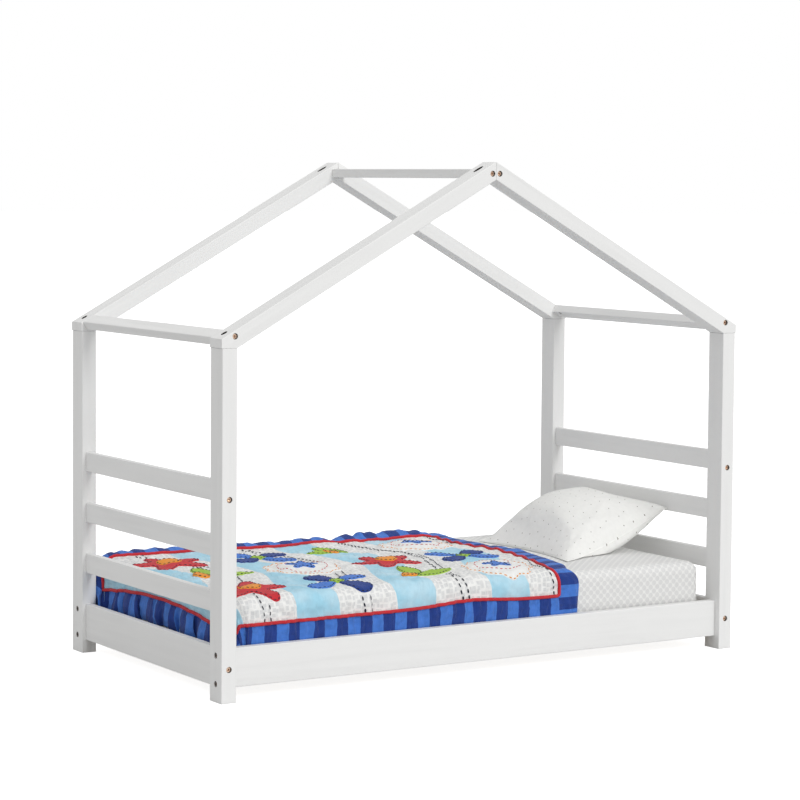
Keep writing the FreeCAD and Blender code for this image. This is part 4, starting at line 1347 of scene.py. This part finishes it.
@dataclass
class Quilt:
    """The quilt: printed top, striped border, piping, patches, stitching and backing."""

    drape: QuiltDrape
    border: float = 0.065
    cell: float = 0.005
    loft: float = 0.0075
    puff: float = 0.006
    rim: float = 0.008
    gap: float = 0.0006
    head_thinning: float = 0.45
    piping_radius: float = 0.0042
    piping_lift: float = 0.0018
    piping_corner: float = 0.004
    layer: float = 0.0014
    stitch: float = 0.007
    stitch_gap: float = 0.0045
    stitch_half: float = 0.0013
    stitch_height: float = 0.0011
    lane: float = 0.02
    waves: Waves = field(default_factory=Waves)
    patches: list[Patch] = field(default_factory=motifs)
    channels: int = 4

    def stations(self, total: float) -> Array:
        """Grid stations along one side: close at the hems, and one on each edge of the border."""
        rim = np.array([0, 0.0007, 0.0021, 0.0042, 0.0072, 0.011])
        strip = np.linspace(rim[-1], self.border, round((self.border - rim[-1]) / self.cell) + 1)[1:]
        start = np.concatenate([rim, strip])
        inner = total - 2 * self.border
        middle = np.linspace(self.border, total - self.border, round(inner / self.cell) + 1)[1:-1]
        return np.concatenate([start, middle, (total - start)[::-1]])

    def stitch_distance(self, along: Array, across: Array) -> Array:
        """Distance from points of the flat quilt to the nearest line of stitching."""
        edge = self.edge(along, across)
        level = self.waves.level(along, across) * self.channels
        echo = np.abs(level - np.round(level)) * self.waves.pitch / self.channels
        nearest = np.where(edge > self.border, np.minimum(echo, edge - self.border), self.border - edge)
        nearest = np.minimum(nearest, edge)
        for patch in self.patches:
            near = np.hypot(along - patch.along, across - patch.across) < patch.size + 0.03
            if patch.layer or not near.any():
                continue
            flat = np.stack([along[near], across[near]], 1)
            line = patch.outline()
            away = away_from(flat, line)
            nearest[near] = np.where(within(flat, line), away, np.minimum(nearest[near], away))
        return nearest

    def plain_puff(self) -> tuple[Array, Array, Array]:
        """The padding's swell between the stitches, without a simulation."""
        along = np.linspace(0, self.drape.length, 198)
        across = np.linspace(0, self.drape.width, 152)
        grid_along, grid_across = np.meshgrid(along, across)
        away = self.stitch_distance(grid_along, grid_across)
        moved = np.zeros((*away.shape, 3))
        moved[..., 2] = self.puff * (1 - np.exp(-away / 0.012))
        return along, across, moved

    def sewn_puff(self, frames: int = 22) -> tuple[Array, Array, Array]:
        """Inflates the flat quilt between its stitches as cloth, and gives how each point moved.

        Args:
            frames: How long the cloth is simulated.

        Returns:
            Stations along and across, and the movement at each crossing.
        """
        along, across, moved = self.plain_puff()
        grid_along, grid_across = np.meshgrid(along, across)
        away = self.stitch_distance(grid_along, grid_across)
        shaker = np.random.default_rng(5)
        start = np.stack([grid_along, grid_across, shaker.uniform(0, 0.0006, away.shape)], -1).reshape(-1, 3)
        cloth = mesh_piece("quilt_puff", start, grid_faces(len(across), len(along)))
        sewn = cloth.vertex_groups.new(name="sewn")
        step = along[1] - along[0]
        sewn.add([int(k) for k in np.flatnonzero(away.ravel() < 0.52 * step)], 1.0, "REPLACE")
        run_cloth(cloth, frames, pressure=1.3, shrink=-0.035, pins="sewn")
        found = points_of(cloth) - np.stack([grid_along, grid_across, 0 * away], -1).reshape(-1, 3)
        bpy.data.objects.remove(cloth)
        found = found.reshape(*away.shape, 3)
        found[..., :2] = np.clip(found[..., :2], -0.003, 0.003)
        found[..., 2] = np.clip(found[..., 2], -0.001, 0.0085)
        return along, across, found

    def prepare(self) -> None:
        """Settles the padding's swell, which every part of the quilt follows."""
        self.along, self.across, self.moved = self.sewn_puff()

    def swell(self, along: Array, across: Array) -> Array:
        """The swell at any points of the flat quilt."""
        places = []
        for value, stations in ((along, self.along), (across, self.across)):
            index = np.clip(np.interp(value, stations, np.arange(len(stations))), 0, len(stations) - 1.001)
            places.append((index.astype(int), (index % 1)[..., None]))
        (i, a), (j, b) = places
        grid = self.moved
        return ((grid[j, i] * (1 - a) + grid[j, i + 1] * a) * (1 - b)
                + (grid[j + 1, i] * (1 - a) + grid[j + 1, i + 1] * a) * b)

    def on_top(self, along: Array, across: Array, lift: Array | float) -> Array:
        """Points on, or a little over, the quilt's upper side.

        Args:
            along: Metres from the foot hem on the flat quilt.
            across: Metres from the front hem.
            lift: Height over the cloth.

        Returns:
            Rows of x, y and z.
        """
        swell, thin, round_edge = self.body(along, across)
        half = self.loft / 2
        rise = self.gap + thin * (half + round_edge * (half + swell[..., 2]))
        return self.drape.place(along + swell[..., 0], across + swell[..., 1], rise, lift)

    def underneath(self, along: Array, across: Array) -> Array:
        """Points on the quilt's underside."""
        swell, thin, round_edge = self.body(along, across)
        rise = self.gap + thin * self.loft / 2 * (1 - round_edge)
        return self.drape.place(along + swell[..., 0], across + swell[..., 1], rise)

    def body(self, along: Array, across: Array) -> tuple[Array, Array, Array]:
        """The swell, the share of the loft kept near the head edge, and the rim's rounding."""
        share = np.clip(1 - self.edge(along, across) / self.rim, 0, 1)
        thin = 1 - self.head_thinning * ease(along, self.drape.length - 0.08, self.drape.length - 0.045)
        return self.swell(along, across), thin, np.sqrt(1 - share * share)

    def edge(self, along: Array, across: Array) -> Array:
        """Distance from points of the flat quilt to its nearest hem."""
        return np.minimum(np.minimum(along, self.drape.length - along),
                          np.minimum(across, self.drape.width - across))

    def cover(self) -> Piece:
        """The padded body of the quilt: top, border and backing, closed all round."""
        along = self.stations(self.drape.length)
        across = self.stations(self.drape.width)
        grid = np.meshgrid(along, across)
        cover, flat = two_layers("quilt_cover", self.on_top(*grid, 0.0), self.underneath(*grid),
                                 np.stack(grid, -1))
        set_uv(cover, flat)
        for finish in (QUILT_MIDDLE, BORDER_ALONG, BORDER_ACROSS, BACKING):
            cover.data.materials.append(finish.material())
        cover.data.polygons.foreach_set("material_index", self.regions(along, across))
        return cover

    def regions(self, along: Array, across: Array) -> list[int]:
        """Which cloth each face is: middle, border along, border across, or backing."""
        middle_along = (along[1:] + along[:-1]) / 2
        middle_across = (across[1:] + across[:-1]) / 2
        grid_along, grid_across = np.meshgrid(middle_along, middle_across)
        kinds = np.zeros(grid_along.shape, int)
        kinds[(grid_across < self.border) | (grid_across > self.drape.width - self.border)] = 1
        kinds[(grid_along < self.border) | (grid_along > self.drape.length - self.border)] = 2
        return kinds.ravel().tolist() + [3] * kinds.size

    def on_line(self, flat: Array, lift: float) -> tuple[Array, Array]:
        """A line on the quilt's upper side, with the directions away from the cloth."""
        here = self.on_top(flat[:, 0], flat[:, 1], lift)
        above = self.on_top(flat[:, 0], flat[:, 1], lift + 0.001)
        up = above - here
        return here, up / np.linalg.norm(up, axis=1)[:, None]

    def piping(self) -> Piece:
        """The piping between the border and the middle."""
        low, corner = self.border, self.piping_corner
        far_along, far_across = self.drape.length - low, self.drape.width - low
        points = []
        for x, y, start in ((far_along, low, -90), (far_along, far_across, 0), (low, far_across, 90),
                            (low, low, 180)):
            middle = (x + math.copysign(corner, self.drape.length / 2 - x),
                      y + math.copysign(corner, self.drape.width / 2 - y))
            for turn in np.radians(np.linspace(start, start + 90, 6)):
                points.append((middle[0] + corner * math.cos(turn), middle[1] + corner * math.sin(turn)))
        line = spaced(np.array(points), self.cell)
        cord = cord_along("quilt_piping", *self.on_line(line, self.piping_lift), self.piping_radius)
        return RED_PIPING.dress(cord, np.repeat(line, 8, 0))

    def patch(self, number: int, patch: Patch) -> Piece:
        """Sews one patch on: its edge is turned under, and its middle lies over the padding."""
        line = patch.outline()
        deselect()
        bpy.ops.mesh.primitive_circle_add(vertices=len(line), radius=1, fill_type="NGON")
        piece = bpy.context.object
        piece.name = f"patch_{patch.shape.value}_{number:02d}"
        move_points(piece, np.column_stack([line, np.zeros(len(line))]))
        bpy.ops.object.mode_set(mode="EDIT")
        bpy.ops.mesh.select_all(action="SELECT")
        bpy.ops.mesh.inset(thickness=0.0005)
        bpy.ops.mesh.inset(thickness=0.0014)
        low, high = line.min(0), line.max(0)
        for axis in (0, 1):
            slice_up(axis, np.arange(low[axis] + 0.003, high[axis], 0.006))
        bpy.ops.object.mode_set(mode="OBJECT")
        flat = points_of(piece)[:, :2]
        rim = away_from(flat, line)
        lift = np.interp(rim, (0.0001, 0.0004, 0.0018), (-0.0018, 0.0016, 0.0022)) + self.layer * patch.layer
        move_points(piece, self.on_top(flat[:, 0], flat[:, 1], lift))
        piece.data.shade_smooth()
        return PATCHES[patch.cloth].dress(piece, flat)

    def dashes(self, name: str, lines: list[tuple[Array, float, float]], thread: str) -> Piece:
        """Running stitches along lines of the flat quilt.

        Args:
            name: The piece's name.
            lines: Each line's points, how far the thread lies over the cloth, and its stitches' size.
            thread: The thread's colour.

        Returns:
            All the stitches as one piece.
        """
        points, faces, flats = [], [], []
        ring = np.array([(1, 0), (0.5, 0.8), (-0.5, 0.8), (-1, 0), (0, -0.6)])
        rod = [*grid_faces(4, 5, tube=True), (4, 3, 2, 1, 0), (15, 16, 17, 18, 19)]
        step = 0.001
        for line, lift, size in lines:
            even = spaced(line, step, closed=False)
            long = round(self.stitch * size / step)
            for start in range(0, len(even) - long, round((self.stitch + self.stitch_gap) * size / step)):
                stitch = even[start:start + long + 1]
                ahead = stitch[-1] - stitch[0]
                ahead /= max(np.linalg.norm(ahead), 1e-9)
                aside = np.array([-ahead[1], ahead[0]]) * self.stitch_half * size
                base = len(points)
                for k, width in ((0, 0.35), (2, 1), (long - 2, 1), (long, 0.35)):
                    for x, z in ring:
                        height = lift + self.stitch_height * width * z
                        points.append((*(stitch[k] + aside * width * x), height))
                        flats.append(stitch[k] + aside * x)
                faces += [tuple(base + k for k in face) for face in rod]
        flat = np.array(points)
        piece = mesh_piece(name, self.on_top(flat[:, 0], flat[:, 1], flat[:, 2]), faces)
        return THREADS[thread].dress(piece, np.array(flats))

    def stitches(self) -> list[Piece]:
        """The thread that shows: pairs of lines on the pale bands, and the patches' edges."""
        lines: dict[str, list[tuple[Array, float, float]]] = {name: [] for name in THREADS}
        near = self.border + 0.004
        inner = np.linspace(near, self.drape.width - near, 200)
        pale = (1 + self.waves.blue_share) / 2
        for level in range(5):
            for side in (-0.5, 0.5):
                along = self.waves.line(level + pale, inner) + side * self.lane
                keep = (along > near) & (along < self.drape.length - near) & self.clear(along, inner)
                for run in np.split(np.arange(len(inner)), np.flatnonzero(~keep)):
                    run = run[keep[run]]
                    if len(run) > 4:
                        lines["dark"].append((np.stack([along[run], inner[run]], 1), 0.0016, 1.25))
        for patch in self.patches:
            edge = patch.outline(inset=0.0034, spacing=0.003)
            lines[patch.thread].append((np.vstack([edge, edge[:1]]), self.layer * patch.layer + 0.0024, 1.0))
        for patch in self.patches:
            if patch.shape is Shape.SCALLOP:
                ring = Patch(Shape.DISC, patch.along, patch.across, patch.size * 0.66, 0, "cream").outline()
                lines["red"].append((np.vstack([ring, ring[:1]]), 0.0024, 1.0))
        return [self.dashes("stitches_" + name, found, name) for name, found in lines.items() if found]

    def clear(self, along: Array, across: Array) -> Array:
        """Which points of the flat quilt lie clear of all patches."""
        found = np.ones(len(along), bool)
        flat = np.stack([along, across], 1)
        for patch in self.patches:
            line = patch.outline()
            found &= ~within(flat, line) & (away_from(flat, line) > 0.006)
        return found

    def build(self) -> list[Piece]:
        """Makes the quilt with all that is sewn on it."""
        self.prepare()
        cover = self.cover()
        sewn = [self.piping(), *[self.patch(n + 1, p) for n, p in enumerate(self.patches)], *self.stitches()]
        hand_over([cover, *sewn], "quilt", "quilt")
        return [cover, *sewn]


CLOTH = {"quality": 6, "mass": 0.2, "tension_stiffness": 20, "compression_stiffness": 12,
         "shear_stiffness": 8, "bending_stiffness": 0.06, "use_pressure": True}


def run_cloth(piece: Piece, frames: int, pressure: float, shrink: float,
              pins: str | None = None) -> None:
    """Simulates a piece as cloth without weight, and keeps the result in its mesh.

    Args:
        piece: The cloth.
        frames: How many frames it moves for.
        pressure: Push along its faces.
        shrink: Share by which it wants to be smaller than it is, or larger where it is negative.
        pins: Name of the points that stay where they are.
    """
    activate(piece)
    cloth = piece.modifiers.new("cloth", "CLOTH")
    settings = cloth.settings
    for name, value in {**CLOTH, "uniform_pressure_force": pressure, "shrink_min": shrink}.items():
        setattr(settings, name, value)
    settings.effector_weights.gravity = 0
    cloth.collision_settings.use_collision = False
    cloth.collision_settings.use_self_collision = False
    if pins:
        settings.vertex_group_mass = pins
        settings.pin_stiffness = 1.0
    cloth.point_cache.frame_start = 1
    cloth.point_cache.frame_end = frames
    for frame in range(1, frames + 1):
        bpy.context.scene.frame_set(frame)
    apply_modifiers(piece)
    bpy.context.scene.frame_set(1)


# ----------------------------------------------------------------------------------------------
# Pillow
# ----------------------------------------------------------------------------------------------


@dataclass
class Pillow:
    """A plump pillow that leans on the head slats: its corners, its fill and its seam."""

    bed: MattressShape
    wall: float
    foot_back: Vector = Vector((0.356, 0.196, 0.2245))
    foot_front: Vector = Vector((0.346, -0.219, 0.2235))
    head_front: Vector = Vector((0.695, -0.172, 0.336))
    head_back: Vector = Vector((0.697, 0.236, 0.337))
    foot_pull: Reach = (0.026, 0.0, 0.0)
    head_pull: Reach = (-0.012, 0.0, -0.012)
    front_pull: Reach = (0.0, 0.036, -0.028)
    back_pull: Reach = (0.0, -0.010, -0.002)
    length: float = 0.45
    width: float = 0.40
    cells: int = 72
    upper: float = 0.088
    lower: float = 0.050
    slack: float = -0.025
    slope: float = 0.4
    kept: float = 0.62
    front_sink: float = 0.03
    soft: float = 0.004

    def flat_case(self) -> tuple[Piece, Array, Array]:
        """The flat case, two layers sewn all round, its points on the cloth and its rim's numbers."""
        rows = round(self.cells * self.width / self.length)
        u, v = np.meshgrid(np.linspace(0, 1, self.cells + 1), np.linspace(0, 1, rows + 1))
        top = np.stack([u, v, 0 * u + 1], -1)
        case, flat = two_layers("pillow_case", top, top * [1, 1, -1], top[..., :2])
        number = np.arange(u.size).reshape(u.shape)
        rim = np.concatenate([number[0, :-1], number[:-1, -1], number[-1, :0:-1], number[:0:-1, 0]])
        return case, flat, rim

    def seat(self, u: Array, v: Array) -> Array:
        """The sheet between the four corners, with its sides drawn in and sagging.

        Args:
            u: From 0 at the front to 1 at the back.
            v: From 0 at the foot to 1 at the head.

        Returns:
            Rows of x, y and z.
        """
        foot = np.array(self.foot_front) * (1 - u) + np.array(self.foot_back) * u
        head = np.array(self.head_front) * (1 - u) + np.array(self.head_back) * u
        found = foot * (1 - v) + head * v
        side_u, side_v = 4 * u * (1 - u), 4 * v * (1 - v)
        found = found + side_u * ((1 - v) ** 2 * self.foot_pull + v ** 2 * self.head_pull)
        return found + side_v * ((1 - u) ** 2 * self.front_pull + u ** 2 * self.back_pull)

    def rest(self, points: Array) -> Array:
        """Keeps points off the mattress and the head slats, with a soft bend where they touch."""
        found = points.copy()
        floor = self.bed.top(found[:, 0], found[:, 1]) + 0.0006 + self.soft
        deep = floor - found[:, 2]
        found[:, 2] = np.where(deep > 0, floor - self.soft + self.soft * self.give(deep), found[:, 2])
        wall = self.wall - 0.001 - self.soft
        past = found[:, 0] - wall
        found[:, 0] = np.where(past > 0, wall + self.soft - self.soft * self.give(past), found[:, 0])
        return found

    def give(self, depth: Array) -> Array:
        """The share of the soft bend that is left at a depth past its start."""
        return np.exp(-np.clip(depth, 0, 1) / self.soft)

    def plump(self, flat: Array, side: Array) -> Array:
        """The filled pillow's points: how far they stand off the sheet between the corners."""
        u, v = flat[:, :1], flat[:, 1:]
        fill = np.clip(16 * u * (1 - u) * v * (1 - v), 0, 1)
        round_edge = 0.8 * fill ** (0.37 + self.slope * (1 - v) ** 2) + 0.2 * fill
        up = (self.foot_back - self.foot_front).cross(self.head_back - self.foot_back).normalized()
        up = np.array(up) * (-1 if up.z < 0 else 1)
        lean = 1 - 0.05 * (v - 0.45)
        rise = np.where(side[:, None] > 0, self.upper * lean, -self.lower) * round_edge
        front = self.front_sink * 4 * v * (1 - v) * fill ** 0.5 * (1 - u) ** 3
        return self.seat(u, v) + rise * up - front * [0, 1, 0.6]

    def build(self) -> list[Piece]:
        """Makes the pillow and the seam round it."""
        case, flat, edge = self.flat_case()
        points = self.rest(self.plump(flat, points_of(case)[:, 2]))
        move_points(case, points)
        seam = case.vertex_groups.new(name="seam")
        seam.add([int(k) for k in edge], 1.0, "REPLACE")
        run_cloth(case, 16, pressure=1.6, shrink=self.slack, pins="seam")
        points = self.rest(self.kept * points + (1 - self.kept) * points_of(case))
        move_points(case, points)
        size = [self.length, self.width]
        set_uv(case, flat * size)
        finer = case.modifiers.new("finer", "SUBSURF")
        finer.levels = finer.render_levels = 1
        apply_modifiers(case)
        line = points[edge]
        out = line - points.mean(0)
        out /= np.linalg.norm(out, axis=1)[:, None]
        seam = cord_along("pillow_seam", line, out, 0.0013, sides=6)
        made = [PILLOW_PRINT.dress(case), PILLOW_PRINT.dress(seam, np.repeat(flat[edge], 6, 0) * size)]
        hand_over(made, "pillow", "pillow")
        return made


# ----------------------------------------------------------------------------------------------
# Studio
# ----------------------------------------------------------------------------------------------


@dataclass
class Studio:
    """Pale floor, soft light and the camera."""

    eye: Vector = Vector((-3.44896, -5.54050, 1.17766))
    heading: float = 0.55444
    pitch: float = -0.06077
    roll: float = 0.00765
    focal_pixels: float = 2608.1
    frame_pixels: float = 800.0
    middle_row: float = 340.0
    sensor: float = 36.0
    key_strength: float = 1.27
    key_from: Vector = Vector((0.10, -0.84, 0.53))
    key_spread: float = math.radians(24)
    sky_strength: float = 0.69
    floor_size: float = 160.0
    floor_grey: float = 0.6
    floor_glow: float = 0.88

    def camera(self) -> None:
        """Sets the camera at the photograph's viewing angle."""
        data = bpy.data.cameras.new("studio_camera")
        data.sensor_width = self.sensor
        data.lens = self.focal_pixels * self.sensor / self.frame_pixels
        data.shift_y = (self.middle_row - self.frame_pixels / 2) / self.frame_pixels
        data.clip_end = 100
        ahead = Vector((math.sin(self.heading) * math.cos(self.pitch),
                        math.cos(self.heading) * math.cos(self.pitch), math.sin(self.pitch)))
        level = Vector((math.cos(self.heading), -math.sin(self.heading), 0))
        upright = level.cross(ahead)
        right = math.cos(self.roll) * level + math.sin(self.roll) * upright
        up = math.cos(self.roll) * upright - math.sin(self.roll) * level
        camera = bpy.data.objects.new("studio_camera", data)
        camera.matrix_world = Matrix.Translation(self.eye) @ Matrix((right, up, -ahead)).transposed().to_4x4()
        bpy.context.scene.collection.objects.link(camera)
        bpy.context.scene.camera = camera

    def floor(self) -> None:
        """Lays a wide pale floor that keeps the bed's shadow."""
        deselect()
        bpy.ops.mesh.primitive_plane_add(size=self.floor_size, location=(0, 0, 0))
        floor = bpy.context.object
        floor.name = "studio_floor"
        settle(floor)
        recipe = Surface("studio_floor", 0.9, Specular_IOR_Level=0.0, Base_Color=(self.floor_grey,) * 3,
                         Emission_Color=(1.0, 1.0, 1.0))
        recipe.feed(recipe.shader.inputs["Emission Strength"], self.seen(recipe, 0.0, self.floor_glow))
        floor.data.materials.append(recipe.material)

    def seen(self, recipe: Recipe, others: float, seen: float) -> Socket:
        """One strength for what the camera and reflections see, another for light that falls."""
        path = recipe.node("ShaderNodeLightPath")
        rays = recipe.math("MAXIMUM", path.outputs["Is Camera Ray"], path.outputs["Is Glossy Ray"])
        rays = recipe.math("MAXIMUM", rays, path.outputs["Is Transmission Ray"])
        return recipe.math("MULTIPLY_ADD", rays, seen - others, others)

    def lights(self) -> None:
        """A soft key light from the front, and an even sky that looks white."""
        data = bpy.data.lights.new("key_light", "SUN")
        data.energy = self.key_strength
        data.angle = self.key_spread
        key = bpy.data.objects.new("key_light", data)
        key.rotation_mode = "QUATERNION"
        key.rotation_quaternion = self.key_from.normalized().to_track_quat("Z", "Y")
        bpy.context.scene.collection.objects.link(key)
        world = bpy.data.worlds.new("studio_sky")
        bpy.context.scene.world = world
        world.use_nodes = True
        background = world.node_tree.nodes["Background"]
        background.inputs["Color"].default_value = (1, 1, 1, 1)
        recipe = Recipe(world.node_tree)
        recipe.feed(background.inputs["Strength"], self.seen(recipe, self.sky_strength, 1.0))

    def build(self) -> None:
        """Sets up the whole studio."""
        bpy.context.scene.view_settings.view_transform = "Standard"
        self.camera()
        self.floor()
        self.lights()


# ----------------------------------------------------------------------------------------------
# The whole bed
# ----------------------------------------------------------------------------------------------


def main() -> None:
    """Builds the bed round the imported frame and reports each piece."""
    logging.basicConfig(level=logging.INFO, format="%(name)s: %(message)s")
    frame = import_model()
    HouseFrame(frame["nodes"], Bores.round_bolts()).dress()
    bed = MattressShape(*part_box("fitted_sheet"))
    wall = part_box("end_slat_head_1")[0].x
    for part in (Mattress(bed), FittedSheet(bed), Quilt(QuiltDrape(bed)), Pillow(bed, wall)):
        for piece in part.build():
            LOG.info("%s: %d faces", piece.name, len(piece.data.polygons))
    Studio().build()


if __name__ == "__main__":
    main()
